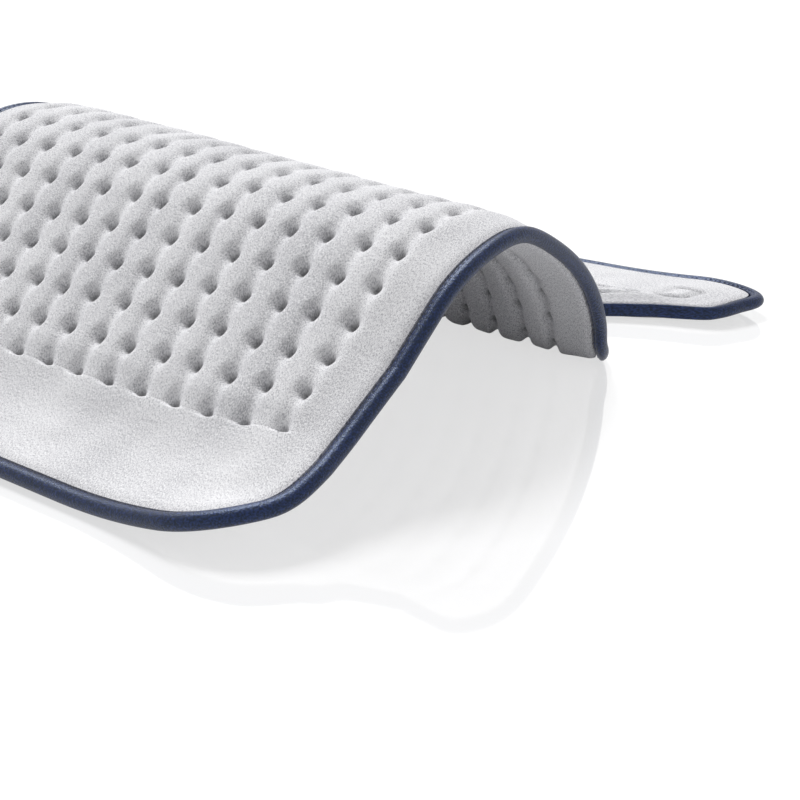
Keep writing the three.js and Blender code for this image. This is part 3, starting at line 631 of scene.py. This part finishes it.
def end_cover(pad, side, far):
    """The mesh of one plain end cover."""
    hollow = pad.quilt.lead_core if far else pad.outline.gap / 2
    places = end_panel_grid(pad, far, *END_GRID)
    return cover_mesh(pad, side, hollow, places, end_panel_grid(pad, far, *INNER_END_GRID))


def cut_socket_room(piece, gap):
    """Cuts room for the coupling socket out of a cover."""
    low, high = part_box("socket_lower_shell")
    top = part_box("socket_upper_shell")[1].z
    low = Vector((low.x - gap, low.y - gap, low.z - gap))
    high = Vector((high.x + gap, high.y + gap, top + gap))
    bpy.ops.object.select_all(action="DESELECT")
    bpy.ops.mesh.primitive_cube_add(size=1, location=(low + high) / 2)
    cutter = bpy.context.active_object
    cutter.scale = high - low
    only(piece)
    cut = piece.modifiers.new("cut", "BOOLEAN")
    cut.operation = "DIFFERENCE"
    cut.object = cutter
    cut.solver = "EXACT"
    bpy.ops.object.modifier_apply(modifier=cut.name)
    bpy.data.objects.remove(cutter, do_unlink=True)
    smooth_shading(piece, SOFT_ANGLE)


def add_plush_map(piece, pad, flat, pressed):
    """A map of the cover laid flat, and how much painted shade each point gets, in the pits and
    along the square's pressed line.
    """
    layer = piece.data.uv_layers.new(name="plush")
    corners = np.zeros(len(piece.data.loops), dtype=np.int32)
    piece.data.loops.foreach_get("vertex_index", corners)
    places = (flat + np.array([pad.outline.width, 0])) / pad.outline.depth
    layer.data.foreach_set("uv", places[corners].ravel())
    shares = np.zeros(len(flat))
    shares[:len(pressed)] = pressed
    piece.data.attributes.new("pressed", "FLOAT", "POINT").data.foreach_set("value", shares)


class HEATINGPAD_OT_covers(Operator):
    """Build the quilted and plain covers of the upper and lower side"""

    bl_idname = "heating_pad.covers"
    bl_label = "Covers"

    def execute(self, context):
        pad = PadSurface()
        for side, side_name in ((1, "upper"), (-1, "lower")):
            for part in ("near_end_panel", "quilted_panel", "far_end_panel"):
                far = part == "far_end_panel"
                if part == "quilted_panel":
                    points, faces, flat, pressed = quilted_cover(pad, side)
                else:
                    points, faces, flat, pressed = end_cover(pad, side, far)
                node_name = f"{side_name}_{part}"
                piece = add_mesh(node_name.replace("panel", "cover"), points, faces)
                # The plush map also carries the mask of painted shade in the pits and along the
                # pressed line
                add_plush_map(piece, pad, flat, pressed)
                if far:
                    cut_socket_room(piece, pad.outline.gap)
                finish_piece(piece, node_name, "white_plush")
        return {"FINISHED"}


# Edge tape

TAPE_STEP = 0.7 * MILLIMETRE
TAPE_SIDES = 36
# Degrees round the tape's section from its outermost line
GROOVE_ANGLE = 118
GROOVE_WIDTH = 8
LIP_ANGLE = 134
LIP_WIDTH = 11
STITCH_PULL = 0.3
SECTION_EASE = 0.06 * MILLIMETRE


def arc(centre, radius, start, end, step):
    """Places along an arc, given by its first and last angle."""
    steps = max(3, round(radius * abs(end - start) / step))
    angles = np.linspace(start, end, steps + 1)
    return [(centre[0] + radius * math.cos(a), centre[1] + radius * math.sin(a)) for a in angles]


def filled(places, step):
    """A route with a place at every step along its straight stretches."""
    route = [np.array(places[0])]
    for place in places[1:]:
        last = route[-1]
        steps = max(1, round(np.linalg.norm(np.array(place) - last) / step))
        route += [lerp(last, np.array(place), k / steps) for k in range(1, steps + 1)]
    return np.array(route)


def tape_path(pad):
    """Places round the pad from one side of the socket to the other."""
    o = pad.outline
    far = o.depth - pad.tape_radius
    socket = o.socket_from_left - o.width
    side = o.socket_width / 2 + o.gap
    corners = (
        (-o.far_corner, o.depth - o.far_corner, o.far_corner),
        (-o.near_corner, o.near_corner, o.near_corner),
        (o.near_corner - o.width, o.near_corner, o.near_corner),
        (o.far_corner - o.width, o.depth - o.far_corner, o.far_corner),
    )
    places = [(socket + side, far)]
    for quarter, (x, s, radius) in enumerate(corners):
        start = (1 - quarter) * math.pi / 2
        places += arc((x, s), radius - pad.tape_radius, start, start - math.pi / 2, TAPE_STEP)
    return filled(places + [(socket - side, far)], TAPE_STEP)


def tube_rings(pad, path, section, hang):
    """Points of a section, given as out and up for each ring, carried along a path on the pad."""
    before = np.concatenate([path[:1], path[:-1]])
    after = np.concatenate([path[1:], path[-1:]])
    heading = after - before
    heading /= np.linalg.norm(heading, axis=1, keepdims=True)
    out, up = section[..., 0], section[..., 1]
    x = path[:, :1] - heading[:, 1:] * out
    s = path[:, 1:] + heading[:, :1] * out
    return pad.place(x, s, up - pad.droop(x, s) if hang else up)


def tube_faces(rings, sides):
    """Faces of a tube with flat ends."""
    start = np.arange(rings - 1)[:, None] * sides
    k = np.arange(sides)[None, :]
    following = (k + 1) % sides
    ring = [start + k, start + following, start + sides + following, start + sides + k]
    faces = np.stack(ring, -1).reshape(-1, 4).tolist()
    faces.append(list(range(sides)))
    faces.append(list(range((rings - 1) * sides, rings * sides)))
    return faces


def tape_section(pad, run):
    """The tape's section at each place: round piping, a stitched line and a turned edge."""
    trim = pad.trim
    degrees = np.arange(TAPE_SIDES) * 360 / TAPE_SIDES
    fold = np.abs((degrees + 180) % 360 - 180)
    angle = np.radians(degrees)
    groove = trim.groove * hump(fold - GROOVE_ANGLE, GROOVE_WIDTH)
    lip = trim.lip * hump(fold - LIP_ANGLE, LIP_WIDTH)
    pull = 1 + STITCH_PULL * np.cos(math.tau * run / trim.stitch)
    radius = pad.tape_radius - SECTION_EASE + lip[None, :] - groove[None, :] * pull[:, None]
    return np.stack([radius * np.cos(angle)[None, :], radius * np.sin(angle)[None, :]], -1)


def add_tape_map(piece, run, sides):
    """A map that runs along the tape and then round it, both from zero to one."""
    layer = piece.data.uv_layers.new(name="tape")
    for face in piece.data.polygons:
        rounds = [v % sides for v in face.vertices]
        wraps = max(rounds) - min(rounds) > sides / 2
        for loop, v in zip(face.loop_indices, face.vertices):
            around = v % sides
            if wraps and around < sides / 2:
                around += sides
            layer.data[loop].uv = (run[v // sides] / run[-1], around / sides)


class HEATINGPAD_OT_tape(Operator):
    """Build the piped tape round the edge"""

    bl_idname = "heating_pad.tape"
    bl_label = "Edge tape"

    def execute(self, context):
        pad = PadSurface()
        path = tape_path(pad)
        steps = np.linalg.norm(np.diff(path, axis=0), axis=1)
        run = np.concatenate([[0], np.cumsum(steps)])
        rings = tube_rings(pad, path, tape_section(pad, run), True)
        piece = add_mesh("edge_tape", rings.reshape(-1, 3), tube_faces(len(path), TAPE_SIDES))
        add_tape_map(piece, run, TAPE_SIDES)
        finish_piece(piece, "edge_binding", "navy_satin")
        return {"FINISHED"}


# Stitched square

# Rings of a stitch: the place along it and the share of its thickness
STITCH_RINGS = ((-0.5, 0), (-0.4, 0.6), (-0.2, 0.92), (0, 1), (0.2, 0.92), (0.4, 0.6), (0.5, 0))
STITCH_SIDES = 8
STITCH_LENGTH = 0.86
STITCH_TIP = 0.05
STITCH_RISE = 0.5


def square_stitches(pad):
    """Points and faces of short rounded stitches along the square, half sunk in the pile."""
    trim = pad.trim
    middle = np.array([-trim.square_from_side, pad.far_seam + trim.square_from_seam])
    half = np.array([trim.square_width / 2, trim.square_depth / 2])
    corners = middle + np.array([(-1, -1), (1, -1), (1, 1), (-1, 1)]) * half
    points, faces = [], []
    for start, end in zip(corners, np.roll(corners, -1, axis=0)):
        length = np.linalg.norm(end - start)
        count = round(length / trim.stitch)
        heading = (end - start) / length
        aside = np.array([heading[1], -heading[0]])
        for k in range(count):
            centre = lerp(start, end, (k + 0.5) / count)
            rings = tube_faces(len(STITCH_RINGS), STITCH_SIDES)
            faces += [[len(points) + v for v in face] for face in rings]
            for along, grow in STITCH_RINGS:
                thick = max(grow, STITCH_TIP)
                for n in range(STITCH_SIDES):
                    angle = math.tau * n / STITCH_SIDES
                    out = aside * math.cos(angle) * trim.thread / 2 * thick
                    x, s = centre + heading * along * trim.stitch * STITCH_LENGTH + out
                    top = cover_height(pad, np.array(x), np.array(s), 1)[0]
                    top = pad.rolled(x, s, top, pad.quilt.edge)
                    lift = trim.thread / 2 * (math.sin(angle) * thick + STITCH_RISE * grow)
                    points.append(pad.place(x, s, top + lift).tolist())
    return np.array(points), faces


class HEATINGPAD_OT_stitching(Operator):
    """Build the stitches of the square in the corner"""

    bl_idname = "heating_pad.stitching"
    bl_label = "Corner stitching"

    def execute(self, context):
        points, faces = square_stitches(PadSurface())
        piece = add_mesh("corner_stitching", points, faces)
        finish_piece(piece, "corner_stitch_square", "sewing_thread")
        return {"FINISHED"}


# Materials

# The plush map in metres, with its grain drawn out along the ribs
PLUSH_SCALE = (0.4, 0.17, 0.4)
# The tape map in metres: along the tape and round it
TAPE_SCALE = (1.35, 0.0188, 1)
TAPE_GRAIN = (1350, 700)
CLUMP_SHARE = 0.28
PATCH_SHARE = 0.12
# Painted shade: how much darker the plush is painted in its pits and along the square's pressed
# line
PAINTED_PRESS_SHADE = 0.62
MOULDED_DARK = 0.86
# Where a finish starts and stops to brighten in the tone of its pile or grain
PILE_TONES = (0.42, 0.55)
TAPE_TONES = (0.45, 0.6)
MOULDED_TONES = (0.3, 0.62)
PILE_BUMP = 0.5 * MILLIMETRE
TAPE_BUMP = 0.45 * MILLIMETRE
MOULDED_BUMP = 0.05 * MILLIMETRE
# Piles: colours of tips and depths, scales of fibres and clumps, bump strength, sheen, own map
PILES = {
    "white_plush": ("plush", "plush_deep", 3300, 1500, 0.16, 0.06, True),
    "sewing_thread": ("thread", "plush_deep", 2600, 900, 0.4, 0.1, False),
    "needled_fleece": ("fleece", "fleece_deep", 1600, 300, 0.8, 0.1, False),
}
# Hard parts and wires: colour, roughness, metallic and scale of the grain
MOULDED = {
    "red_silicone": ("wire", 0.5, 0, 900),
    "white_silicone": ("lead", 0.5, 0, 900),
    "black_plastic": ("black", 0.55, 0, 1400),
    "grey_plastic": ("grey", 0.5, 0, 1400),
    "brass": ("brass", 0.3, 1, 1800),
    "steel": ("steel", 0.35, 1, 1800),
}


def node(tree, kind, sockets=(), **settings):
    """A node with its settings, and values or links for its sockets."""
    made = tree.nodes.new(kind)
    for name, value in settings.items():
        setattr(made, name, value)
    for name, value in dict(sockets).items():
        if isinstance(value, bpy.types.NodeSocket):
            tree.links.new(value, made.inputs[name])
        else:
            made.inputs[name].default_value = value
    return made


def math_node(tree, operation, first, second):
    """The result of an operation on two numbers or sockets."""
    return node(tree, "ShaderNodeMath", {0: first, 1: second}, operation=operation).outputs[0]


def blended(tree, first, second, amount):
    """The sum of two numbers, the second counting for its share and the first for the rest."""
    kept = math_node(tree, "MULTIPLY", first, 1 - amount)
    return math_node(tree, "ADD", kept, math_node(tree, "MULTIPLY", second, amount))


def faded(tree, value, amount):
    """One less a share of a value."""
    return math_node(tree, "SUBTRACT", 1, math_node(tree, "MULTIPLY", value, amount))


def shaded(tree, tone, shade):
    """A colour made darker by a factor."""
    sockets = {0: tone, 1: shade}
    return node(tree, "ShaderNodeVectorMath", sockets, operation="MULTIPLY").outputs[0]


def noise(tree, place, scale, roughness=0.5):
    """A noise between zero and one."""
    sockets = {"Vector": place, "Scale": scale, "Detail": 2, "Roughness": roughness}
    return node(tree, "ShaderNodeTexNoise", sockets).outputs["Fac"]


def mapped_place(tree, uv_map, scale):
    """Places on a piece's own map, in metres."""
    flat = node(tree, "ShaderNodeUVMap", uv_map=uv_map).outputs["UV"]
    return node(tree, "ShaderNodeMapping", {"Vector": flat, "Scale": scale}).outputs["Vector"]


def object_place(tree):
    """The object's own coordinates."""
    return node(tree, "ShaderNodeTexCoord").outputs["Object"]


def ramp(tree, value, places, dark, light):
    """A colour that goes from dark to light as a value goes from one place to the other."""
    made = node(tree, "ShaderNodeValToRGB", {"Fac": value})
    for stop, place, tint in zip(made.color_ramp.elements, places, (dark, light)):
        stop.position = place
        stop.color = (*tint, 1)
    return made.outputs["Color"]


def bumps(tree, height, strength, distance):
    """A normal bent by a height."""
    sockets = {"Height": height, "Strength": strength, "Distance": distance}
    return node(tree, "ShaderNodeBump", sockets).outputs["Normal"]


def pile_group():
    """Short pile or fine grain: a height for bumps, and a tone for colour."""
    tree = bpy.data.node_groups.new("short_pile", "ShaderNodeTree")
    tree.interface.new_socket("Vector", in_out="INPUT", socket_type="NodeSocketVector")
    for name, scale in (("Fibre Scale", 1500), ("Clump Scale", 420), ("Patch Scale", 30)):
        made = tree.interface.new_socket(name, in_out="INPUT", socket_type="NodeSocketFloat")
        made.default_value = scale
    for name in ("Height", "Tone"):
        tree.interface.new_socket(name, in_out="OUTPUT", socket_type="NodeSocketFloat")
    given = tree.nodes.new("NodeGroupInput").outputs
    fibre = noise(tree, given["Vector"], given["Fibre Scale"], 0.6)
    clump = noise(tree, given["Vector"], given["Clump Scale"], 0.55)
    patch = noise(tree, given["Vector"], given["Patch Scale"])
    height = blended(tree, fibre, clump, CLUMP_SHARE)
    tone = blended(tree, height, patch, PATCH_SHARE)
    node(tree, "NodeGroupOutput", {"Height": height, "Tone": tone})
    return tree


def pile_node(tree, place, fibre, clump):
    """The pile group in a material, with its own grain."""
    group = bpy.data.node_groups.get("short_pile") or pile_group()
    sockets = {"Vector": place, "Fibre Scale": fibre, "Clump Scale": clump}
    return node(tree, "ShaderNodeGroup", sockets, node_tree=group).outputs


def new_material(name):
    """A material with an empty tree."""
    material = bpy.data.materials.new(name)
    material.use_nodes = True
    material.node_tree.nodes.clear()
    return material, material.node_tree


def add_shader(tree, sockets):
    """The shader of a material and its output."""
    shader = node(tree, "ShaderNodeBsdfPrincipled", sockets)
    node(tree, "ShaderNodeOutputMaterial", {"Surface": shader.outputs[0]})


def pile_material(name):
    """Fabric with a short pile, which runs along the ribs where the piece has a plush map."""
    tips, depths, fibre, clump, strength, sheen, mapped = PILES[name]
    colours = bpy.context.scene.heating_pad_colours
    material, tree = new_material(name)
    place = mapped_place(tree, "plush", PLUSH_SCALE) if mapped else object_place(tree)
    pile = pile_node(tree, place, fibre, clump)
    light, dark = getattr(colours, tips), getattr(colours, depths)
    tone = ramp(tree, pile["Tone"], PILE_TONES, dark, light)
    # Painted shade darkens the plush in the pits and along the square's pressed line
    if mapped:
        pressed = node(tree, "ShaderNodeAttribute", attribute_name="pressed").outputs["Fac"]
        tone = shaded(tree, tone, faded(tree, pressed, PAINTED_PRESS_SHADE))
    sockets = {
        "Base Color": tone,
        "Roughness": 0.95,
        "Specular IOR Level": 0.15,
        "Sheen Weight": sheen,
        "Sheen Roughness": 0.6,
        "Normal": bumps(tree, pile["Height"], strength, PILE_BUMP),
    }
    add_shader(tree, sockets)
    return material


def tape_material(name):
    """Navy satin with a fine weave that follows the tape."""
    colours = bpy.context.scene.heating_pad_colours
    material, tree = new_material(name)
    weave = pile_node(tree, mapped_place(tree, "tape", TAPE_SCALE), *TAPE_GRAIN)
    sockets = {
        "Base Color": ramp(tree, weave["Tone"], TAPE_TONES, colours.tape_deep, colours.tape),
        "Roughness": 0.38,
        "Specular IOR Level": 0.5,
        "Specular Tint": (0.5, 0.66, 1, 1),
        "Sheen Weight": 0.02,
        "Sheen Roughness": 0.3,
        "Sheen Tint": (0.5, 0.65, 1, 1),
        "Normal": bumps(tree, weave["Height"], 0.7, TAPE_BUMP),
    }
    add_shader(tree, sockets)
    return material


def moulded_material(name):
    """Plastic, silicone or metal with a fine grain."""
    colour_name, roughness, metallic, scale = MOULDED[name]
    tint = getattr(bpy.context.scene.heating_pad_colours, colour_name)
    material, tree = new_material(name)
    grain = pile_node(tree, object_place(tree), scale, scale / 6)
    dark = [channel * MOULDED_DARK for channel in tint]
    sockets = {
        "Base Color": ramp(tree, grain["Tone"], MOULDED_TONES, dark, tint),
        "Roughness": roughness,
        "Metallic": metallic,
        "Normal": bumps(tree, grain["Height"], 0.12, MOULDED_BUMP),
    }
    add_shader(tree, sockets)
    return material


def finish(name):
    """A finish by its name, made the first time that it is asked for."""
    found = bpy.data.materials.get(name)
    if found:
        return found
    if name in PILES:
        return pile_material(name)
    return moulded_material(name) if name in MOULDED else tape_material(name)


# Heating layer, leads and socket

TUBE_SIDES = 12
TUBE_STEP = 2 * MILLIMETRE
SWERVE_STEPS = 24
FLEECE_GRID = (90, 110)
FLEECE_RIPPLE = 0.06 * MILLIMETRE
FLEECE_WAVES = (12 * MILLIMETRE, 6, 12)
FLEECE_SINK = 0.06 * MILLIMETRE
EDGE_SEGMENTS = 3
EDGE_ANGLE = 40
FLAT_ANGLE = 1
MERGE = 0.001 * MILLIMETRE
# Rounded copies: the piece, the node that it stands for and its share of the rounding
LAYER_PARTS = (
    ("cutout_block", "thermal_cutout", 1),
    ("sensor_block", "temperature_sensor", 1),
    ("near_crimp", "near_crimp_sleeve", 1 / 2),
    ("far_crimp", "far_crimp_sleeve", 1 / 2),
)
SOCKET_PARTS = (
    ("lower_shell", "socket_lower_shell", 1),
    ("upper_shell", "socket_upper_shell", 1),
    ("pin_carrier", "contact_carrier", 1 / 2),
    *((f"pin_{i}", f"contact_pin_{i}", 1 / 2) for i in (1, 2, 3, 4)),
    *((f"screw_{i}", f"socket_screw_{i}", 1 / 3) for i in (1, 2)),
)


def bend_round(x, s, radius, start, end):
    """Places round a lead's bend, from its middle, its radius and its angles in half turns."""
    return arc((x, s), radius, start * math.pi, end * math.pi, MILLIMETRE)


class Layer:
    """Places of the heating layer, as distances along and across the pad."""

    def __init__(self, pad):
        self.pad = pad
        self.sizes = bpy.context.scene.heating_pad_layer
        o, q, a = pad.outline, pad.quilt, self.sizes
        self.left = -o.width + q.side_margin + a.fleece_inset
        self.right = -q.side_margin
        self.turn = pad.row_pitch
        self.run_left = self.left + self.turn + a.wire
        self.run_right = self.right - self.turn - a.wire
        self.first = pad.near_seam + pad.row_pitch / 2
        self.tail = self.run_left - a.bend
        self.tail_end = pad.far_seam + a.wire
        self.lead_x = q.side_margin - o.width
        self.lead_s = pad.far_seam + a.lead_row
        socket = o.socket_from_left - o.width
        self.pins = [socket + (i - 1.5) * a.pin_pitch for i in range(4)]
        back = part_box("socket_lower_shell")[0].y
        mouths = [pad.middle(x, o.depth)[1] for x in self.pins]
        self.pin_ends = [o.depth - mouth + back - a.pin_tail - o.gap for mouth in mouths]

    def wire_route(self):
        """The heating wire: runs across the pad, joined by half turns, and its tail."""
        a, turn = self.sizes, self.turn
        places = [(self.left, self.first)]
        s = self.first
        for k in range(a.runs):
            ends = (self.run_left, self.run_right)
            start, end = ends if k % 2 == 0 else ends[::-1]
            places += [(start, s), (end, s)]
            if k + 1 < a.runs:
                places += bend_round(end, s + turn, turn, -0.5, 0.5 if k % 2 == 0 else -1.5)
                s += 2 * turn
        places += bend_round(self.run_left, s + a.bend, a.bend, -0.5, -1)
        return places + [(self.tail, self.tail_end)]

    def return_route(self):
        """The lead from the wire's start, by the left side and the far end, to the cutout."""
        a, gap, bend = self.sizes, self.pad.outline.gap, self.sizes.bend
        x = self.lead_x + bend
        first = bend_round(x, self.first + bend, bend, -0.5, -1)
        second = bend_round(x, self.lead_s - bend, bend, 1, 0.5)
        start = (self.left - 2 * gap - a.crimp, self.first)
        return [start, *first, *second, (x + a.cutout_from_bend - gap, self.lead_s)]

    def neutral_route(self):
        """The lead from the thermal cutout to the first pin."""
        a, bend, pin = self.sizes, self.sizes.bend, self.pins[0]
        start = self.lead_x + bend + a.cutout_from_bend + a.cutout + self.pad.outline.gap
        corner = bend_round(pin - bend, self.lead_s + bend, bend, -0.5, 0)
        return [(start, self.lead_s), *corner, (pin, self.pin_ends[0])]

    def live_route(self):
        """The lead from the wire's tail to the second pin, in one easy swerve."""
        start = self.tail_end + 2 * self.pad.outline.gap + self.sizes.crimp
        along = np.linspace(0, 1, SWERVE_STEPS)
        across = lerp(self.tail, self.pins[1], smooth(along))
        return list(zip(across, lerp(start, self.pin_ends[1], along)))

    def sensor_route(self, i):
        """A lead from the temperature sensor to its pin."""
        a, trim, bend = self.sizes, self.pad.trim, self.sizes.bend
        s = self.pad.far_seam + trim.square_from_seam + (i - 2.5) * a.sensor_spacing
        start = -trim.square_from_side - a.sensor_length / 2 - self.pad.outline.gap
        corner = bend_round(self.pins[i] + bend, s + bend, bend, -0.5, -1)
        return [(start, s), *corner, (self.pins[i], self.pin_ends[i])]


def lay_tube(pad, name, node_name, route, diameter, height=0):
    """A round tube laid along a route between the covers."""
    path = filled(route, TUBE_STEP)
    angle = np.arange(TUBE_SIDES) * math.tau / TUBE_SIDES
    section = np.stack([np.cos(angle), np.sin(angle)], -1) * diameter / 2 + np.array([0, height])
    rings = tube_rings(pad, path, np.broadcast_to(section, (len(path), TUBE_SIDES, 2)), False)
    piece = add_mesh(name, rings.reshape(-1, 3), tube_faces(len(path), TUBE_SIDES))
    finish_piece(piece, node_name, SLOTS[node_name])


def lay_fleece(pad, layer):
    """The sheet that carries the wire, a little uneven as felt is."""
    a = layer.sizes
    near, far = pad.near_seam + pad.row_pitch, pad.far_seam - pad.row_pitch
    lines = np.linspace(layer.left, layer.right, FLEECE_GRID[0])
    x, s = np.meshgrid(lines, np.linspace(near, far, FLEECE_GRID[1]), indexing="ij")
    height = FLEECE_RIPPLE * waves(x, s, *FLEECE_WAVES) - a.fleece_gap
    top = pad.place(x, s, height - FLEECE_SINK)
    bottom = pad.place(x, s, height - a.fleece)
    points, faces, _ = closed_sheet(top, x, s, bottom, x, s)
    piece = add_mesh("fleece_sheet", points, faces)
    finish_piece(piece, "carrier_fleece", "needled_fleece")


def rounded_copies(parts):
    """Hard parts with their edges rounded over."""
    for name, node_name, edge_share in parts:
        piece = add_object(name, frame["nodes"][node_name].data.copy())
        only(piece)
        bpy.ops.object.mode_set(mode="EDIT")
        bpy.ops.mesh.select_all(action="SELECT")
        bpy.ops.mesh.remove_doubles(threshold=MERGE)
        bpy.ops.mesh.dissolve_limited(angle_limit=math.radians(FLAT_ANGLE))
        bpy.ops.object.mode_set(mode="OBJECT")
        bevel = piece.modifiers.new("edges", "BEVEL")
        bevel.width = bpy.context.scene.heating_pad_layer.edge * edge_share
        bevel.segments = EDGE_SEGMENTS
        bevel.limit_method = "ANGLE"
        bevel.angle_limit = math.radians(EDGE_ANGLE)
        bpy.ops.object.modifier_apply(modifier=bevel.name)
        smooth_shading(piece, HARD_ANGLE)
        finish_piece(piece, node_name, SLOTS[node_name])


class HEATINGPAD_OT_layer(Operator):
    """Build the heating layer: fleece, wire, leads, crimp sleeves, cutout and sensor"""

    bl_idname = "heating_pad.layer"
    bl_label = "Heating layer"

    def execute(self, context):
        pad = PadSurface()
        layer = Layer(pad)
        a = layer.sizes
        lay_fleece(pad, layer)
        lay_tube(pad, "wire_runs", "heating_wire", layer.wire_route(), a.wire, a.wire / 2)
        lay_tube(pad, "return_wire", "return_lead", layer.return_route(), a.lead)
        lay_tube(pad, "neutral_wire", "neutral_lead", layer.neutral_route(), a.lead)
        lay_tube(pad, "live_wire", "live_lead", layer.live_route(), a.lead)
        for i in (1, 2):
            route = layer.sensor_route(i + 1)
            lay_tube(pad, f"sensor_wire_{i}", f"sensor_lead_{i}", route, a.sensor_lead)
        rounded_copies(LAYER_PARTS)
        return {"FINISHED"}


class HEATINGPAD_OT_socket(Operator):
    """Build the coupling socket: shells, pin carrier, pins and screws"""

    bl_idname = "heating_pad.socket"
    bl_label = "Coupling socket"

    def execute(self, context):
        rounded_copies(SOCKET_PARTS)
        return {"FINISHED"}


# Stage

CAMERA_PLACE = (0.264712, -0.255711, 0.194806)
CAMERA_TARGET = (-0.068, 0.1449, 0.0)
CAMERA_LENS = 65.6
CAMERA_SENSOR = 36
LAMP_PLACE = (-3.2, 1.9, 5.94)
LAMP_TARGET = (0, 0, 0.02)
LAMP_WIDTH = 2.6
LAMP_POWER = 488
AMBIENT = 0.26
FLOOR_WIDTH = 8
FLOOR_DEPTH = 0.2 * MILLIMETRE
FLOOR_SHADE = 0.36
FLOOR_LIFT = 0.84
FLOOR_GLOSS = 0.21
FLOOR_ROUGHNESS = 0.05
FLOOR_MOTTLE = 0.985
FLOOR_TONES = (0.2, 0.8)
WHITE = (1, 1, 1, 1)


def aim(item, place, target):
    """Puts a lamp or a camera in its place and turns it to its target."""
    item.location = place
    item.rotation_euler = (Vector(target) - Vector(place)).to_track_quat("-Z", "Y").to_euler()


def add_camera():
    """The camera at the photograph's angle."""
    data = bpy.data.cameras.new("camera")
    data.lens = CAMERA_LENS
    data.sensor_width = CAMERA_SENSOR
    data.clip_start = 0.01
    data.clip_end = 50
    camera = add_object("camera", data)
    aim(camera, CAMERA_PLACE, CAMERA_TARGET)
    camera.location = Vector(PadSurface().origin) + Vector(CAMERA_PLACE)
    bpy.context.scene.camera = camera


def add_lamp():
    """A soft square lamp."""
    data = bpy.data.lights.new("key_lamp", "AREA")
    data.shape = "SQUARE"
    data.size = LAMP_WIDTH
    data.energy = LAMP_POWER
    aim(add_object("key_lamp", data), LAMP_PLACE, LAMP_TARGET)


def seen_directly(tree):
    """One for camera, glossy and transmission rays, and zero for the rest."""
    rays = node(tree, "ShaderNodeLightPath").outputs
    either = math_node(tree, "MAXIMUM", rays["Is Camera Ray"], rays["Is Glossy Ray"])
    return math_node(tree, "MAXIMUM", either, rays["Is Transmission Ray"])


def set_world():
    """White where it is seen, and a softer light on the object."""
    world = bpy.data.worlds.new("studio")
    world.use_nodes = True
    tree = world.node_tree
    tree.nodes.clear()
    seen = math_node(tree, "MULTIPLY", seen_directly(tree), 1 - AMBIENT)
    strength = math_node(tree, "ADD", seen, AMBIENT)
    light = node(tree, "ShaderNodeBackground", {"Color": WHITE, "Strength": strength})
    node(tree, "ShaderNodeOutputWorld", {"Surface": light.outputs[0]})
    bpy.context.scene.world = world


def floor_material():
    """A pale floor, white away from the object's soft shadow, with a faint mirror image."""
    colours = bpy.context.scene.heating_pad_colours
    material, tree = new_material("studio_floor")
    speck = noise(tree, object_place(tree), 3)
    dark = [FLOOR_MOTTLE * channel for channel in colours.floor]
    tint = ramp(tree, speck, FLOOR_TONES, dark, colours.floor)
    seen = seen_directly(tree)
    tint = shaded(tree, tint, faded(tree, seen, 1 - FLOOR_SHADE))
    matt = node(tree, "ShaderNodeBsdfDiffuse", {"Color": tint})
    lift = math_node(tree, "MULTIPLY", seen, FLOOR_LIFT)
    glow = node(tree, "ShaderNodeEmission", {"Color": WHITE, "Strength": lift})
    base = node(tree, "ShaderNodeAddShader", {0: matt.outputs[0], 1: glow.outputs[0]})
    mirror = node(tree, "ShaderNodeBsdfGlossy", {"Color": WHITE, "Roughness": FLOOR_ROUGHNESS})
    sockets = {0: FLOOR_GLOSS, 1: base.outputs[0], 2: mirror.outputs[0]}
    mixed = node(tree, "ShaderNodeMixShader", sockets)
    node(tree, "ShaderNodeOutputMaterial", {"Surface": mixed.outputs[0]})
    return material


class HEATINGPAD_OT_stage(Operator):
    """Build the floor, the lamp, the world and the camera"""

    bl_idname = "heating_pad.stage"
    bl_label = "Stage"

    def execute(self, context):
        bpy.ops.object.select_all(action="DESELECT")
        bpy.ops.mesh.primitive_plane_add(size=FLOOR_WIDTH, location=(0, 0, -FLOOR_DEPTH))
        floor = context.active_object
        floor.name = "floor"
        floor.data.materials.append(floor_material())
        add_lamp()
        set_world()
        add_camera()
        context.scene.view_settings.view_transform = "Standard"
        return {"FINISHED"}


class HEATINGPAD_PT_build(Panel):
    """Lists the steps that build the heating pad"""

    bl_idname = "HEATINGPAD_PT_build"
    bl_label = "Heating pad"
    bl_space_type = "VIEW_3D"
    bl_region_type = "UI"
    bl_category = "Heating pad"

    def draw(self, context):
        for step in STEPS:
            self.layout.operator(step.bl_idname)


STEPS = (
    HEATINGPAD_OT_stage,
    HEATINGPAD_OT_covers,
    HEATINGPAD_OT_tape,
    HEATINGPAD_OT_stitching,
    HEATINGPAD_OT_layer,
    HEATINGPAD_OT_socket,
)
GROUPS = {
    "heating_pad_outline": HeatingPadOutline,
    "heating_pad_quilt": HeatingPadQuilt,
    "heating_pad_trim": HeatingPadTrim,
    "heating_pad_layer": HeatingPadLayer,
    "heating_pad_colours": HeatingPadColours,
}
CLASSES = (*GROUPS.values(), *STEPS, HEATINGPAD_PT_build)


def register():
    """Registers the classes and hangs the sizes and colours on the scene."""
    for item in CLASSES:
        bpy.utils.register_class(item)
    for name, group in GROUPS.items():
        setattr(bpy.types.Scene, name, PointerProperty(type=group))


def unregister():
    """Takes the sizes, the colours and the classes away again."""
    for name in GROUPS:
        delattr(bpy.types.Scene, name)
    for item in reversed(CLASSES):
        bpy.utils.unregister_class(item)


def main():
    """Builds every piece and the stage."""
    register()
    for step in STEPS:
        group, name = step.bl_idname.split(".")
        getattr(getattr(bpy.ops, group), name)()


if __name__ == "__main__":
    main()
